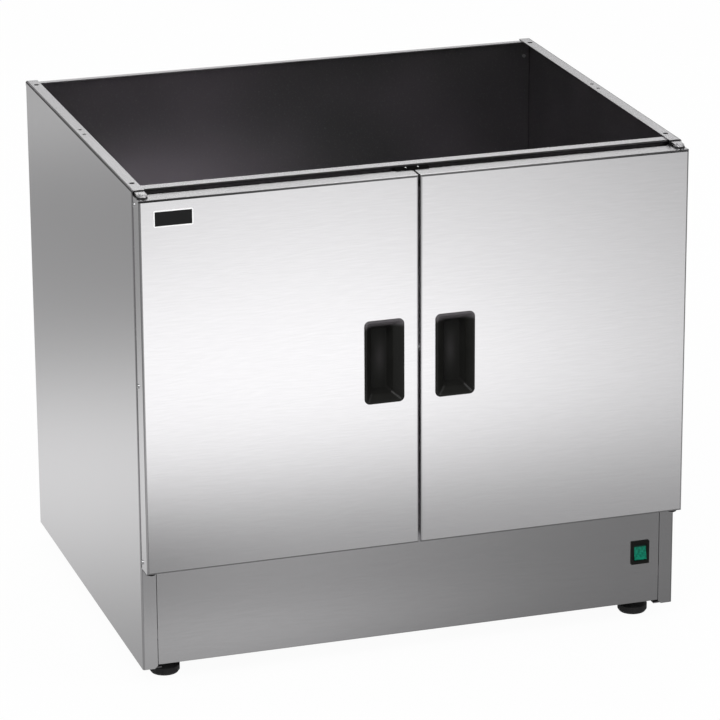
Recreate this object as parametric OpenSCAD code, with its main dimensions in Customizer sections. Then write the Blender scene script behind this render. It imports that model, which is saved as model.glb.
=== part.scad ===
// Plate warmer cabinet: an open-topped sheet steel pedestal with two hinged doors,
// a wire shelf, and a heated compartment behind the plinth.
// Local layout: x = 0 at the middle, y = 0 at the front of the side panels, z = 0 at
// their bottom edge. in_frame() moves that to the reference point on the ground.

/* [Cabinet body] */
// Width over the side panels
body_w = 720; // [600:1:900]
// Depth of the side panels
body_d = 555; // [480:1:700]
// Height of the side panels, without the feet
body_h = 632; // [600:1:800]
// Thickness of the folded sheet
sheet_t = 1.5; // [1.2:0.1:2]
// Outside radius of the folds
bend_r = 2.5; // [2.2:0.1:4]
// Width of the side panels' top flanges
top_flange_w = 16; // [15:0.5:20]
// Width of the side panels' bottom flanges
bottom_flange_w = 25; // [22:0.5:32]
// Width of the front returns beside the plinth
return_w = 19.5; // [18:0.5:26]
// Width of the rear returns
rear_return_w = 18; // [14:0.5:30]
// Chamfer at the foot of each front return
return_chamfer = 4; // [2:0.5:6]
// Width of the back panel's top flange
back_flange_w = 11; // [8:0.5:20]

/* [Top rail and top flange holes] */
// Height of the front top rail
rail_h = 30; // [26:1:45]
// Depth of the front top rail
rail_depth = 17; // [12:1:30]
// Distance of the rail behind the front of the side panels
rail_setback = 6; // [5.5:0.5:10]
// Radius of the corner holes in the top flanges
corner_hole_r = 3.5; // [2:0.1:4]
// Radius of the middle holes in the top flanges
mid_hole_r = 2.5; // [1.5:0.1:3.5]
// Distance of the flange holes from the outside of the side panels
hole_edge = 9; // [8.5:0.1:10]
// Distance of the front holes from the front
hole_front = 31.5; // [28:0.5:60]
// Distance of the rear holes from the back
hole_back = 25; // [20:0.5:60]
// Distance of the first middle hole from the front
mid_hole_y = 269; // [120:1:360]
// Spacing of the two middle holes
mid_hole_pitch = 23; // [12:1:60]

/* [Plinth and floors] */
// Height of the doors' lower edge
plinth_h = 139.5; // [130:0.5:180]
// Height of the plinth panel's lower edge
plinth_bottom = 4.5; // [4.5:0.5:8]
// Depth of the lip folded under the plinth
plinth_lip = 18; // [12:1:30]
// Gap between the plinth and each front return
plinth_seam = 0.8; // [0.3:0.1:2]
// Height of the warm floor above the doors' lower edge
floor_rise = 10.5; // [9:0.5:20]
// Depth of the floor's folded edges
floor_edge = 10; // [6:0.5:11]
// Length of a vent slot in the floor
slot_l = 46; // [20:1:60]
// Width of a vent slot in the floor
slot_w = 4; // [3:0.5:6]
// Height of the bottom pan
pan_z = 40; // [36:1:45]
// Height of the pan's folded edges
pan_edge = 12; // [8:1:15]

/* [Doors] */
// Thickness of a door
door_t = 26; // [25:0.5:34]
// Gap between the doors and the cabinet
door_gap = 3; // [3:0.1:5]
// Gap between the two doors
door_middle_gap = 3; // [2:0.1:6]
// Set-in of the doors from the sides of the cabinet
door_inset = 1; // [1:0.1:3]
// Drop of the doors' upper edge below the top
door_drop = 6; // [6:0.5:12]
// Depth of the liner's folded edges
liner_edge = 6.5; // [5:0.5:6.5]
// Slack of the liner inside the outer skin
liner_fit = 0.2; // [0.1:0.05:0.5]
// Radius of a liner screw's head
door_screw_head_r = 3; // [2.4:0.1:3.1]
// Height of a liner screw's head
door_screw_head_h = 1.5; // [1:0.1:2]
// Distance of the end screws from a door's corners
door_screw_end = 10; // [9:0.5:30]

/* [Hinges] */
// Distance of a pin from the door's side
pin_inset = 8; // [8:0.1:9]
// Distance of a pin from the door's back
pin_depth = 12; // [12:0.1:13]
// Radius of a hinge pin
pin_r = 3; // [2:0.1:3.2]
// Running clearance of a pin in its bush
pin_fit = 0.05; // [0.02:0.01:0.1]
// Outside radius of a bush
bush_r = 5; // [4.5:0.1:5]
// Length of a bush inside the door
bush_l = 14; // [8:1:20]
// Radius of a bush's collar
bush_collar_r = 7; // [6:0.1:7.5]
// Thickness of a bush's collar
bush_collar_t = 1.5; // [1:0.1:1.5]
// Thickness of a hinge plate
hinge_t = 2.5; // [2:0.1:2.5]
// Length of a hinge plate's leg
hinge_leg = 40; // [30:1:45]

/* [Pull handles] */
// Width of a handle's rim
handle_w = 52.4; // [46:0.2:60]
// Height of a handle's rim
handle_h = 109.6; // [90:0.2:130]
// Rim standing proud of the door
handle_proud = 2.2; // [1.5:0.1:4]
// Corner radius of the rim
handle_corner = 7; // [5:0.5:10]
// Distance of a handle's middle from the middle of the cabinet
handle_x = 46.8; // [40:0.2:70]
// Height of a handle's middle
handle_z = 388; // [300:1:440]
// Depth of the finger well behind the door's face
well_depth = 19; // [14:0.5:20]
// Width of the finger well at its mouth
well_w = 29; // [24:0.5:32]
// Wall of the handle
handle_wall = 2; // [1.5:0.1:2.5]

/* [Badge plate] */
// Width of the plate
badge_w = 50; // [30:1:80]
// Height of the plate
badge_h = 21; // [12:1:40]
// Thickness of the plate
badge_t = 1.2; // [0.8:0.1:2]
// Width of the plate's raised rim
badge_rim = 1.4; // [0.8:0.1:2.5]
// Distance of the plate's middle from the left door's outer edge
badge_x = 43; // [42:1:100]
// Distance of the plate's middle below the door's upper edge
badge_drop = 24; // [22:1:80]

/* [Magnetic catch] */
// Width of the catch
catch_w = 44; // [36:1:60]
// Height of the catch
catch_h = 20; // [14:1:22]
// Thickness of a strike plate
strike_t = 1; // [0.8:0.1:1.2]
// Air gap between the catch and a strike plate
catch_air = 0.3; // [0.3:0.05:0.6]

/* [Rocker switch] */
// Width of the bezel
bezel_w = 25; // [24:0.5:30]
// Height of the bezel
bezel_h = 32; // [31:0.5:38]
// Bezel standing proud of the plinth
bezel_t = 2; // [1.5:0.1:3]
// Width of the rocker
rocker_w = 16.6; // [14:0.1:17]
// Half the height of the rocker
rocker_r = 10.8; // [9.5:0.1:11]
// Tilt of the rocker either way
rocker_tilt = 8; // [5:0.5:10]
// Running gap round the rocker
rocker_gap = 0.3; // [0.2:0.05:0.5]
// Depth of the switch behind the plinth
switch_depth = 26; // [22:1:34]
// Distance of the switch's middle from the right side of the cabinet
switch_x = 46.5; // [45:0.5:80]
// Height of the switch's middle
switch_z = 76; // [74:0.5:90]

/* [Wire shelf] */
// Height of the shelf's supports above the bottom edge of the cabinet
shelf_z = 378; // [300:1:400]
// Radius of the shelf's frame rod
frame_rod_r = 3; // [2.5:0.1:4]
// Radius of the shelf's cross rods
cross_rod_r = 2; // [1.5:0.1:2.5]
// Largest spacing of the cross rods
cross_rod_pitch = 30; // [25:1:45]
// Gap between the shelf and the front returns
shelf_side_gap = 3; // [2:0.5:6]
// Overlap of the shelf on each support
shelf_overlap = 12; // [8:1:20]
// Height of a support's leg
support_h = 24; // [16:1:35]
// Gap between the shelf and the front and back of the compartment
shelf_end_gap = 22; // [16:1:40]

/* [Heater] */
// Radius of the heating tube
tube_r = 4.25; // [3:0.05:5]
// Spacing of the heating tube's runs
run_pitch = 78; // [60:1:95]
// Half the length of a straight run
run_half = 230; // [150:1:240]
// Height of the heating tube above the bottom pan
tube_rise = 52; // [30:1:60]
// Thickness of a tube comb
comb_t = 2; // [1.5:0.1:3]
// Distance of the combs from the middle
comb_x = 165; // [100:1:200]
// Radius of the cable gland's thread
gland_r = 9.8; // [8:0.1:12]
// Radius of the cable gland's bore
gland_bore_r = 5; // [3:0.1:6]
// Length of the cable gland outside the back panel
gland_out = 22; // [18:1:30]
// Distance of the gland's middle from the right side of the cabinet
gland_x = 110; // [90:1:360]
// Height of the gland
gland_z = 84; // [80:1:95]

/* [Feet] */
// Height of the cabinet's lower edge above the ground
foot_h = 22; // [20:0.5:35]
// Radius of a foot's pad
pad_r = 19.5; // [15:0.5:24]
// Radius of a foot's stud
stud_r = 5; // [4:0.1:6]
// Clearance of the stud in its threaded plate
stud_fit = 0.05; // [0.02:0.01:0.1]
// Height of the stud above the cabinet's lower edge
stud_top = 32; // [28:1:34]
// Distance of the front feet from the front, and of the rear feet from the back
foot_y = 42; // [36:1:80]
// Distance of the feet from the sides
foot_x = 39; // [36:1:80]
// Side of a foot plate
foot_plate = 66; // [60:1:70]
// Thickness of a foot plate
foot_plate_t = 3; // [2:0.5:3]

/* [Hidden] */
$fn = 48;

over = 1;                       // how far a cut runs past the face that it opens
touch = 0.02;                   // slack of a fixed round piece in its hole
half_w = body_w / 2;
inner_x = half_w - sheet_t;
fold_in = bend_r - sheet_t;     // inside radius of a fold, which what lies against the fold keeps clear of
inner_back = body_d - 2 * sheet_t;
flange_under = body_h - sheet_t;

door_top = body_h - door_drop;
door_h = door_top - plinth_h;
door_w = half_w - door_inset - door_middle_gap / 2;
door_mid = door_middle_gap / 2 + door_w / 2;
door_front = -door_gap - door_t;

front_y = door_front - handle_proud;
back_y = body_d + gland_out;
mid_y = (front_y + back_y) / 2;

floor_z = plinth_h + floor_rise;
plinth_half = half_w - return_w - plinth_seam;
pan_top = pan_z + sheet_t;

pin_x = half_w - door_inset - pin_inset;
pin_y = -door_gap - pin_depth;
hinge_half = 6;                 // half the width of a hinge plate, and its nose radius
hinge_air = 0.3;                // gap between a bush's collar and the plate it turns on
slot_air = 0.3;                 // gap round a hinge plate in the return's slot
upper_tongue = flange_under - hinge_t;
lower_tongue = plinth_h - bush_collar_t - hinge_air - hinge_t;
pin_in_door = 20;               // reach of a pin into the door
rivet_h = 1.1;                  // height of a pin's riveted head
rivet_r = 4.4;                  // radius of a pin's riveted head

shelf_half = half_w - return_w - shelf_side_gap;
ledge_w = inner_x - shelf_half + shelf_overlap;

slot_rows = 9;                  // rows of vent slots in the floor, an odd number
slot_row_pitch = 40;

tube_z = pan_top + tube_rise;
run_count = 4;
run_y0 = (body_d - (run_count - 1) * run_pitch) / 2;

gland_mid = half_w - gland_x;
block_back = 54;                // distance of the terminal block in front of the back panel
earth_side = 60;                // distance of the earth stud beside the gland
earth_back = 60;                // distance of the earth stud in front of the back panel

switch_mid = half_w - switch_x;
rocker_pivot_y = bezel_t;       // depth of the rocker's axle behind the plinth's face
rocker_face = 3.2;              // distance of the rocker's waist in front of its axle
axle_r = 1.2;
axle_fit = 0.05;
axle_l = 1.6;

foot_cx = half_w - foot_x;
foot_ys = [foot_y, body_d - foot_y];
collar_h = 5;                   // height of the hexagon under a foot plate
collar_air = 0.3;
pad_top = -3.5;                 // height of a pad's upper end

steel = [0.78, 0.78, 0.79];
bright = [0.86, 0.86, 0.87];
dark_plastic = [0.09, 0.09, 0.09];
nylon = [0.88, 0.87, 0.82];
ceramic = [0.9, 0.88, 0.82];
green = [0.05, 0.45, 0.36];

// ---------------------------------------------------------------- shared shapes

module in_frame() { translate([0, -mid_y, foot_h]) children(); }

// A copy on the right of what is drawn on the left
module on_right() { mirror([1, 0, 0]) children(); }

module both_sides() {
    children();
    on_right() children();
}

// Profile drawn in y and z, pulled along x from x0 to x1
module along_x(x0, x1) {
    translate([x0, 0, 0]) rotate([90, 0, 90]) linear_extrude(x1 - x0) children();
}

// Profile drawn in x and z, pulled along y from y0 to y1
module along_y(y0, y1) {
    translate([0, y1, 0]) rotate([90, 0, 0]) linear_extrude(y1 - y0) children();
}

// Cylinder along y that starts at the origin
module rod_y(r, l, r_end = -1) {
    rotate([-90, 0, 0]) cylinder(r1 = r, r2 = r_end < 0 ? r : r_end, h = l);
}

// Fold seen end on: legs a along x and b along y, outer corner at the origin
module angle_2d(a, b) {
    intersection() {
        square(bend_r);
        translate([bend_r, bend_r]) difference() {
            circle(bend_r);
            circle(bend_r - sheet_t);
        }
    }
    translate([bend_r, 0]) square([a - bend_r, sheet_t]);
    translate([0, bend_r]) square([sheet_t, b - bend_r]);
}

// Channel seen end on: web along y, leg a at its start and leg b at its end
module channel_2d(web, a, b) {
    angle_2d(a, web / 2);
    translate([0, web]) mirror([0, 1]) angle_2d(b, web / 2);
}

module rounded_2d(w, h, r) {
    translate([-w / 2 + r, -h / 2]) square([w - 2 * r, h]);
    translate([-w / 2, -h / 2 + r]) square([w, h - 2 * r]);
    for (x = [-1, 1], y = [-1, 1])
        translate([x * (w / 2 - r), y * (h / 2 - r)]) circle(r);
}

// Upright slab with rounded corners, centred on x and z, from y = 0 backwards
module slab(w, h, r, depth) {
    along_y(0, depth) rounded_2d(w, h, r);
}

// Rectangle whose two front corners are round: front edge on the x axis
module front_rounded_2d(w, d, r) {
    translate([-w / 2 + r, 0]) square([w - 2 * r, d]);
    translate([-w / 2, r]) square([w, d - r]);
    for (x = [-1, 1]) translate([x * (w / 2 - r), r]) circle(r);
}

// Block with its four front edges rounded, centred on x and z, front face at y = 0
module soft_block(w, d, h, r) {
    intersection() {
        translate([0, 0, -h / 2]) linear_extrude(h) front_rounded_2d(w, d, r);
        along_x(-w / 2, w / 2) mirror([1, -1]) front_rounded_2d(h, d, r);
    }
}

// Rectangle from y0 to y1 whose corners are cut off to clear the folds beside them
module clipped_2d(x_half, y0, y1) {
    polygon([[-x_half + fold_in, y0], [x_half - fold_in, y0], [x_half, y0 + fold_in],
             [x_half, y1 - fold_in], [x_half - fold_in, y1], [-x_half + fold_in, y1],
             [-x_half, y1 - fold_in], [-x_half, y0 + fold_in]]);
}

// Shallow tray of folded sheet: floor at the bottom, edges up
module tray(x_half, y0, y1, h) {
    difference() {
        linear_extrude(h) clipped_2d(x_half, y0, y1);
        translate([-x_half + sheet_t, y0 + sheet_t, sheet_t])
            cube([2 * (x_half - sheet_t), y1 - y0 - 2 * sheet_t, h]);
    }
}

module slot_cut(l, w, depth) {
    linear_extrude(depth) {
        square([l - w, w], center = true);
        for (x = [-1, 1]) translate([x * (l - w) / 2, 0]) circle(w / 2, $fn = 16);
    }
}

// ---------------------------------------------------------------- cabinet body

module side_panel() {
    difference() {
        union() {
            translate([-half_w, 0, 0]) linear_extrude(door_top)
                channel_2d(body_d, return_w, rear_return_w);
            translate([-half_w, 0, 0]) along_y(bend_r, body_d - bend_r)
                channel_2d(body_h, bottom_flange_w, top_flange_w);
            translate([-half_w, 0, body_h]) along_y(0, body_d)
                mirror([0, 1]) angle_2d(top_flange_w, door_drop);
        }
        for (y = [hole_front, body_d - hole_back]) flange_hole(y, corner_hole_r);
        for (y = [mid_hole_y, mid_hole_y + mid_hole_pitch]) flange_hole(y, mid_hole_r);
        return_corner_cut();
        hinge_slot_cut();
        hinge_screw_cuts();
        back_rivet_cuts();
    }
}

module flange_hole(y, r) {
    translate([-half_w + hole_edge, y, flange_under - over])
        cylinder(r = r, h = sheet_t + 2 * over);
}

module return_corner_cut() {
    translate([-half_w + return_w, sheet_t + over, 0]) rotate([90, 0, 0])
        linear_extrude(sheet_t + 2 * over)
            polygon([[over, -over], [over, return_chamfer + over], [-return_chamfer - over, -over]]);
}

module hinge_slot_cut() {
    translate([-pin_x - hinge_half - slot_air, -over, lower_tongue - slot_air])
        cube([2 * (hinge_half + slot_air), sheet_t + 2 * over, hinge_t + 2 * slot_air]);
}

module left_side_panel() { color(steel) in_frame() side_panel(); }
module right_side_panel() { color(steel) in_frame() on_right() side_panel(); }

module back_panel() {
    color(steel) in_frame() difference() {
        along_x(-inner_x + fold_in, inner_x - fold_in)
            translate([body_d - sheet_t, flange_under]) mirror([1, 0]) mirror([0, 1])
                angle_2d(back_flange_w, flange_under - plinth_bottom);
        translate([gland_mid, inner_back - over, gland_z])
            rod_y(gland_r + touch, sheet_t + 2 * over);
        back_rivet_cuts();
        on_right() back_rivet_cuts();
    }
}

module front_top_rail() {
    color(steel) in_frame() along_x(-inner_x + fold_in, inner_x - fold_in)
        translate([rail_setback, flange_under - rail_h])
            channel_2d(rail_h, rail_depth, rail_depth);
}

module plinth_panel() {
    color(steel) in_frame() difference() {
        along_x(-plinth_half, plinth_half) translate([0, plinth_bottom])
            angle_2d(plinth_lip, floor_z - plinth_bottom);
        translate([switch_mid, -over, switch_z]) along_y(0, sheet_t + 2 * over)
            square([housing_w(), housing_h()], center = true);
    }
}

module cabinet_floor() {
    slot_margin = 60;
    column_pitch = slot_l + 14;
    columns = floor((2 * inner_x - slot_margin) / column_pitch);
    color(steel) in_frame() difference() {
        translate([0, 0, floor_z]) mirror([0, 0, 1])
            tray(inner_x, sheet_t, inner_back, floor_edge + sheet_t);
        for (i = [0 : columns - 1], j = [0 : slot_rows - 1])
            translate([(i - (columns - 1) / 2) * column_pitch,
                       body_d / 2 + (j - (slot_rows - 1) / 2) * slot_row_pitch,
                       floor_z - sheet_t - over])
                slot_cut(slot_l, slot_w, sheet_t + 2 * over);
    }
}

module bottom_pan() {
    vent_count = 6;
    vent_pitch = 90;
    color(steel) in_frame() difference() {
        translate([0, 0, pan_z]) tray(inner_x, sheet_t, inner_back, pan_edge + sheet_t);
        for (i = [0 : vent_count - 1], y = [run_y0 + run_pitch / 2, run_y0 + 5 * run_pitch / 2])
            translate([(i - (vent_count - 1) / 2) * vent_pitch, y, pan_z - over])
                slot_cut(slot_l, slot_w, sheet_t + 2 * over);
    }
}

// ---------------------------------------------------------------- shelf

module shelf_support() {
    translate([-inner_x, 0, shelf_z - sheet_t])
        along_y(shelf_end_gap, body_d - shelf_end_gap) angle_2d(ledge_w, support_h);
}

module left_shelf_support() { color(steel) in_frame() shelf_support(); }
module right_shelf_support() { color(steel) in_frame() on_right() shelf_support(); }

module wire_shelf() {
    corner = 12;
    x = shelf_half - frame_rod_r;
    y0 = shelf_end_gap + 4 + frame_rod_r;
    y1 = body_d - shelf_end_gap - 4 - frame_rod_r;
    bite = 0.6;
    cross_z = frame_rod_r + cross_rod_r - bite;
    mid_rod_r = frame_rod_r - 0.5;      // the stiffening rod is thinner than the frame that it joins
    mid_rod_lift = 0.3;                 // brings its top up to the cross rods
    gaps = ceil(2 * (x - corner) / cross_rod_pitch);
    color(bright) in_frame() translate([0, 0, shelf_z + frame_rod_r]) {
        for (s = [-1, 1]) translate([s * x, y0 + corner, 0]) rod_y(frame_rod_r, y1 - y0 - 2 * corner);
        for (y = [y0, y1]) translate([corner - x, y, 0]) rotate([0, 90, 0])
            cylinder(r = frame_rod_r, h = 2 * (x - corner));
        translate([-x, (y0 + y1) / 2, mid_rod_lift]) rotate([0, 90, 0])
            cylinder(r = mid_rod_r, h = 2 * x);
        for (c = [[x - corner, y1 - corner, 0], [-x + corner, y1 - corner, 90],
                  [-x + corner, y0 + corner, 180], [x - corner, y0 + corner, 270]])
            translate([c[0], c[1], 0]) rotate([0, 0, c[2]])
                rotate_extrude(angle = 90) translate([corner, 0]) circle(frame_rod_r);
        for (i = [0 : gaps])
            translate([(2 * i / gaps - 1) * (x - corner), y0, cross_z]) rod_y(cross_rod_r, y1 - y0);
    }
}

// ---------------------------------------------------------------- heater and wiring

module heating_element() {
    color([0.35, 0.34, 0.33]) in_frame() translate([0, run_y0, tube_z]) {
        for (i = [0 : run_count - 1])
            translate([-run_half, i * run_pitch, 0]) rotate([0, 90, 0])
                cylinder(r = tube_r, h = 2 * run_half);
        for (i = [0 : run_count - 2]) {
            side = i % 2 == 0 ? -1 : 1;
            translate([side * run_half, (i + 0.5) * run_pitch, 0]) rotate([0, 0, -side * 90])
                rotate_extrude(angle = 180)
                    translate([run_pitch / 2, 0]) circle(tube_r);
        }
    }
}

module element_combs() {
    rim = 10;
    foot = 14;
    slack = 0.2;
    y0 = run_y0 - tube_r - rim;
    length = (run_count - 1) * run_pitch + 2 * (tube_r + rim);
    color(steel) in_frame() for (x = [-comb_x, comb_x]) difference() {
        union() {
            translate([x - comb_t / 2, y0, pan_top]) cube([comb_t, length, tube_rise + tube_r + rim]);
            translate([x - comb_t / 2, y0, pan_top]) cube([foot, length, comb_t]);
        }
        for (i = [0 : run_count - 1])
            translate([x - foot, run_y0 + i * run_pitch, tube_z]) rotate([0, 90, 0])
                cylinder(r = tube_r + slack, h = 2 * foot);
        for (i = [0 : run_count - 2])
            translate([x - comb_t, run_y0 + (i + 0.5) * run_pitch, pan_top + tube_rise / 2])
                rotate([0, 90, 0]) cylinder(r = 14, h = 2 * comb_t);
    }
}

module element_terminals() {
    collar_r = tube_r + 2.5;
    collar_l = 14;
    stud = 2;
    stud_l = 12;
    color(ceramic) in_frame() for (y = [run_y0, run_y0 + (run_count - 1) * run_pitch])
        translate([run_half, y, tube_z]) rotate([0, 90, 0]) {
            cylinder(r = collar_r, h = collar_l);
            cylinder(r = stud, h = collar_l + stud_l);
            translate([0, 0, collar_l]) cylinder(r = 4.2, h = 3, $fn = 6);
        }
}

module limit_thermostat() {
    disc_r = 9;
    disc_h = 8;
    x = comb_x + 60;
    y = body_d / 2 + slot_row_pitch / 2;   // on the plain band between two rows of slots
    color(dark_plastic) in_frame() translate([x, y, floor_z - sheet_t]) mirror([0, 0, 1]) {
        cylinder(r = disc_r, h = disc_h);
        difference() {
            linear_extrude(0.8) {
                square([34, 10], center = true);
                circle(disc_r + 1);
            }
            for (s = [-1, 1]) translate([s * 14, 0, -over]) cylinder(r = 1.8, h = 3);
        }
        for (s = [-1, 1]) translate([s * 5 - 0.4, -3.15, disc_h - 1]) cube([0.8, 6.3, 9]);
    }
}

module terminal_block() {
    ways = 3;
    pitch = 14;
    block_d = 26;
    block_h = 18;
    wall = 4;
    color(ceramic) in_frame()
        translate([gland_mid - ways * pitch / 2, inner_back - block_back - block_d, pan_top]) difference() {
            cube([ways * pitch, block_d, block_h]);
            for (i = [0 : ways - 1]) {
                translate([(i + 0.5) * pitch, -over, block_h / 2]) rod_y(3, block_d + 2 * over);
                for (y = [wall + 3, block_d - wall - 3])
                    translate([(i + 0.5) * pitch, y, block_h / 2]) cylinder(r = 2.5, h = block_h);
            }
        }
}

module earth_stud() {
    color(bright) in_frame() translate([gland_mid - earth_side, inner_back - earth_back, pan_top]) {
        cylinder(r = 6.5, h = 1);
        cylinder(r = 4.6, h = 5, $fn = 6);
        cylinder(r = 2.5, h = 16);
    }
}

module cable_gland() {
    inside = 14;
    collar = 5;
    color(dark_plastic) in_frame() translate([gland_mid, 0, gland_z]) difference() {
        union() {
            translate([0, inner_back - inside, 0])
                rod_y(gland_r, body_d - sheet_t - inner_back + inside);
            translate([0, body_d - sheet_t, 0]) rotate([-90, 0, 0])
                cylinder(r = gland_r + 4, h = collar + sheet_t, $fn = 6);
            translate([0, body_d + collar, 0]) rod_y(gland_r + 1.5, gland_out - collar - 5);
            translate([0, back_y - 5, 0]) rod_y(gland_r + 1.5, 5, gland_bore_r + 2);
        }
        translate([0, inner_back - inside - over, 0])
            rod_y(gland_bore_r, back_y - inner_back + inside + 2 * over);
    }
}

module gland_nut() {
    nut_t = 5;
    color(dark_plastic) in_frame() translate([gland_mid, inner_back - nut_t, gland_z]) difference() {
        rotate([-90, 0, 0]) cylinder(r = gland_r + 4, h = nut_t, $fn = 6);
        translate([0, -over, 0]) rod_y(gland_r + touch, nut_t + 2 * over);
    }
}

// ---------------------------------------------------------------- rocker switch

function housing_w() = bezel_w - 3;
function housing_h() = bezel_h - 2.4;

module switch_body() {
    snap = 0.2;
    color(dark_plastic) in_frame() translate([switch_mid, 0, switch_z]) difference() {
        union() {
            translate([0, -bezel_t, 0]) slab(bezel_w, bezel_h, 1.2, bezel_t);
            slab(housing_w() - snap, housing_h() - snap, 1, switch_depth);
        }
        translate([-rocker_w / 2 - rocker_gap, rocker_pivot_y, 0]) rotate([0, 90, 0])
            cylinder(r = rocker_r + rocker_gap, h = rocker_w + 2 * rocker_gap);
        translate([-rocker_w / 2 - rocker_gap, -bezel_t - over, -rocker_r - rocker_gap])
            cube([rocker_w + 2 * rocker_gap, rocker_pivot_y + bezel_t + over,
                  2 * (rocker_r + rocker_gap)]);
        translate([-rocker_w / 2 - axle_l - axle_fit, rocker_pivot_y, 0]) rotate([0, 90, 0])
            cylinder(r = axle_r + axle_fit, h = rocker_w + 2 * (axle_l + axle_fit));
    }
}

module switch_terminals() {
    blade_w = 6.3;
    blade_t = 0.8;
    blade_l = 10;
    color([0.75, 0.65, 0.4]) in_frame() translate([switch_mid, switch_depth, switch_z])
        for (x = [-5, 5], z = [-8, 8])
            translate([x - blade_t / 2, 0, z - blade_w / 2]) cube([blade_t, blade_l, blade_w]);
}

module switch_rocker() {
    lift = rocker_r * tan(rocker_tilt);
    back = 5;
    color(green) in_frame() translate([switch_mid, rocker_pivot_y, switch_z])
        rotate([-rocker_tilt, 0, 0]) {
            along_x(-rocker_w / 2, rocker_w / 2) intersection() {
                circle(rocker_r);
                polygon([[-rocker_face, 0], [-rocker_face - lift, rocker_r], [back, rocker_r],
                         [back, -rocker_r], [-rocker_face - lift, -rocker_r]]);
            }
            translate([-rocker_w / 2 - axle_l, 0, 0]) rotate([0, 90, 0])
                cylinder(r = axle_r, h = rocker_w + 2 * axle_l);
        }
}

// ---------------------------------------------------------------- catch, hinges, fixings

module magnetic_catch() {
    front = -door_gap + strike_t + catch_air;
    top = door_top + 2;
    lobe = catch_w / 2 - 4;
    color(dark_plastic) in_frame() difference() {
        translate([-catch_w / 2, front, top - catch_h]) cube([catch_w, rail_setback - front, catch_h]);
        for (s = [-1, 1]) translate([s * lobe / 2 - 5 + s * 2, front - over, top - catch_h + 4])
            cube([10, over + 4, catch_h - 9]);
    }
}

module catch_poles() {
    front = -door_gap + strike_t + catch_air;
    lobe = catch_w / 2 - 4;
    color(steel) in_frame() for (s = [-1, 1])
        translate([s * lobe / 2 - 5 + s * 2, front, door_top + 2 - catch_h + 4]) {
            cube([10, 4, 2]);
            translate([0, 0, catch_h - 11]) cube([10, 4, 2]);
            translate([0, 0.5, 0]) cube([10, 3.5, catch_h - 9]);
        }
}

// Plate whose tongue carries a pin. Its leg hangs down inside the front return.
module hinge_plate(tongue_z) {
    leg_back = sheet_t + hinge_t;
    translate([-pin_x, 0, tongue_z]) difference() {
        union() {
            linear_extrude(hinge_t) {
                translate([0, pin_y]) circle(hinge_half);
                translate([-hinge_half, pin_y]) square([2 * hinge_half, leg_back - pin_y]);
            }
            translate([-hinge_half, sheet_t, hinge_t - hinge_leg])
                cube([2 * hinge_half, hinge_t, hinge_leg]);
        }
        translate([0, pin_y, -over]) cylinder(r = pin_r + touch, h = hinge_t + 2 * over);
    }
}

module upper_hinge_plates() {
    color(steel) in_frame() both_sides() difference() {
        hinge_plate(upper_tongue);
        hinge_screw_cuts();
    }
}

module lower_hinge_plates() {
    color(steel) in_frame() both_sides() hinge_plate(lower_tongue);
}

module hinge_pins() {
    color(bright) in_frame() both_sides() translate([-pin_x, pin_y, 0]) {
        translate([0, 0, door_top - pin_in_door])
            cylinder(r = pin_r, h = flange_under - door_top + pin_in_door);
        translate([0, 0, flange_under]) cylinder(r = rivet_r, h = rivet_h);
        translate([0, 0, lower_tongue]) cylinder(r = pin_r, h = plinth_h + pin_in_door - lower_tongue);
        translate([0, 0, lower_tongue - rivet_h]) cylinder(r = rivet_r, h = rivet_h);
    }
}

hinge_screw_drop = 12;          // distance of the upper hinge screw below the doors' upper edge
hinge_screw_pitch = 14;
hinge_screw_past = 1;           // screw end standing behind the hinge plate
hinge_screw_zs = [door_top - hinge_screw_drop, door_top - hinge_screw_drop - hinge_screw_pitch];
hinge_screw_r = 1.6;
hinge_screw_head = 3;

// Countersunk screw along y with its flat head flush with the return's face
module hinge_screw(slack, past) {
    translate([-pin_x, -past, 0]) {
        rod_y(hinge_screw_head + slack, past);
        translate([0, past, 0]) rod_y(hinge_screw_head + slack, sheet_t, hinge_screw_r + slack);
        translate([0, past, 0]) rod_y(hinge_screw_r + slack, sheet_t + hinge_t + past);
    }
}

module hinge_screw_cuts() {
    for (z = hinge_screw_zs) translate([0, 0, z]) hinge_screw(touch, over);
}

module hinge_screws() {
    color(bright) in_frame() both_sides() for (z = hinge_screw_zs)
        translate([-pin_x, 0, z]) {
            rod_y(hinge_screw_head, sheet_t, hinge_screw_r);
            rod_y(hinge_screw_r, sheet_t + hinge_t + hinge_screw_past);
        }
}

rivet_edge = 18;                // distance of an upper rivet from the floor or the returns' end
back_rivet_r = 1.6;
back_rivet_head = 3.2;
// One rivet below the pan, one between the pan and the floor, and three above the floor
rivet_zs = concat([pan_z / 2, (pan_z + floor_z) / 2],
    [for (i = [0 : 2]) floor_z + rivet_edge + i * (door_top - floor_z - 2 * rivet_edge) / 2]);

module back_rivet_cuts() {
    for (z = rivet_zs)
        translate([-half_w + rear_return_w / 2 + 1, inner_back - over, z])
            rod_y(back_rivet_r + touch, 2 * sheet_t + 2 * over);
}

module back_rivets() {
    color(bright) in_frame() both_sides() for (z = rivet_zs)
        translate([-half_w + rear_return_w / 2 + 1, 0, z]) {
            translate([0, inner_back - 1.2, 0]) rod_y(back_rivet_r, 2 * sheet_t + 1.2);
            translate([0, inner_back - 1.2, 0]) rod_y(back_rivet_r + 0.8, 1.2);
            translate([0, body_d, 0]) rod_y(back_rivet_head, 1, back_rivet_head - 1);
        }
}

// ---------------------------------------------------------------- feet

boss_r = 8;
boss_h = 12;

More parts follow.
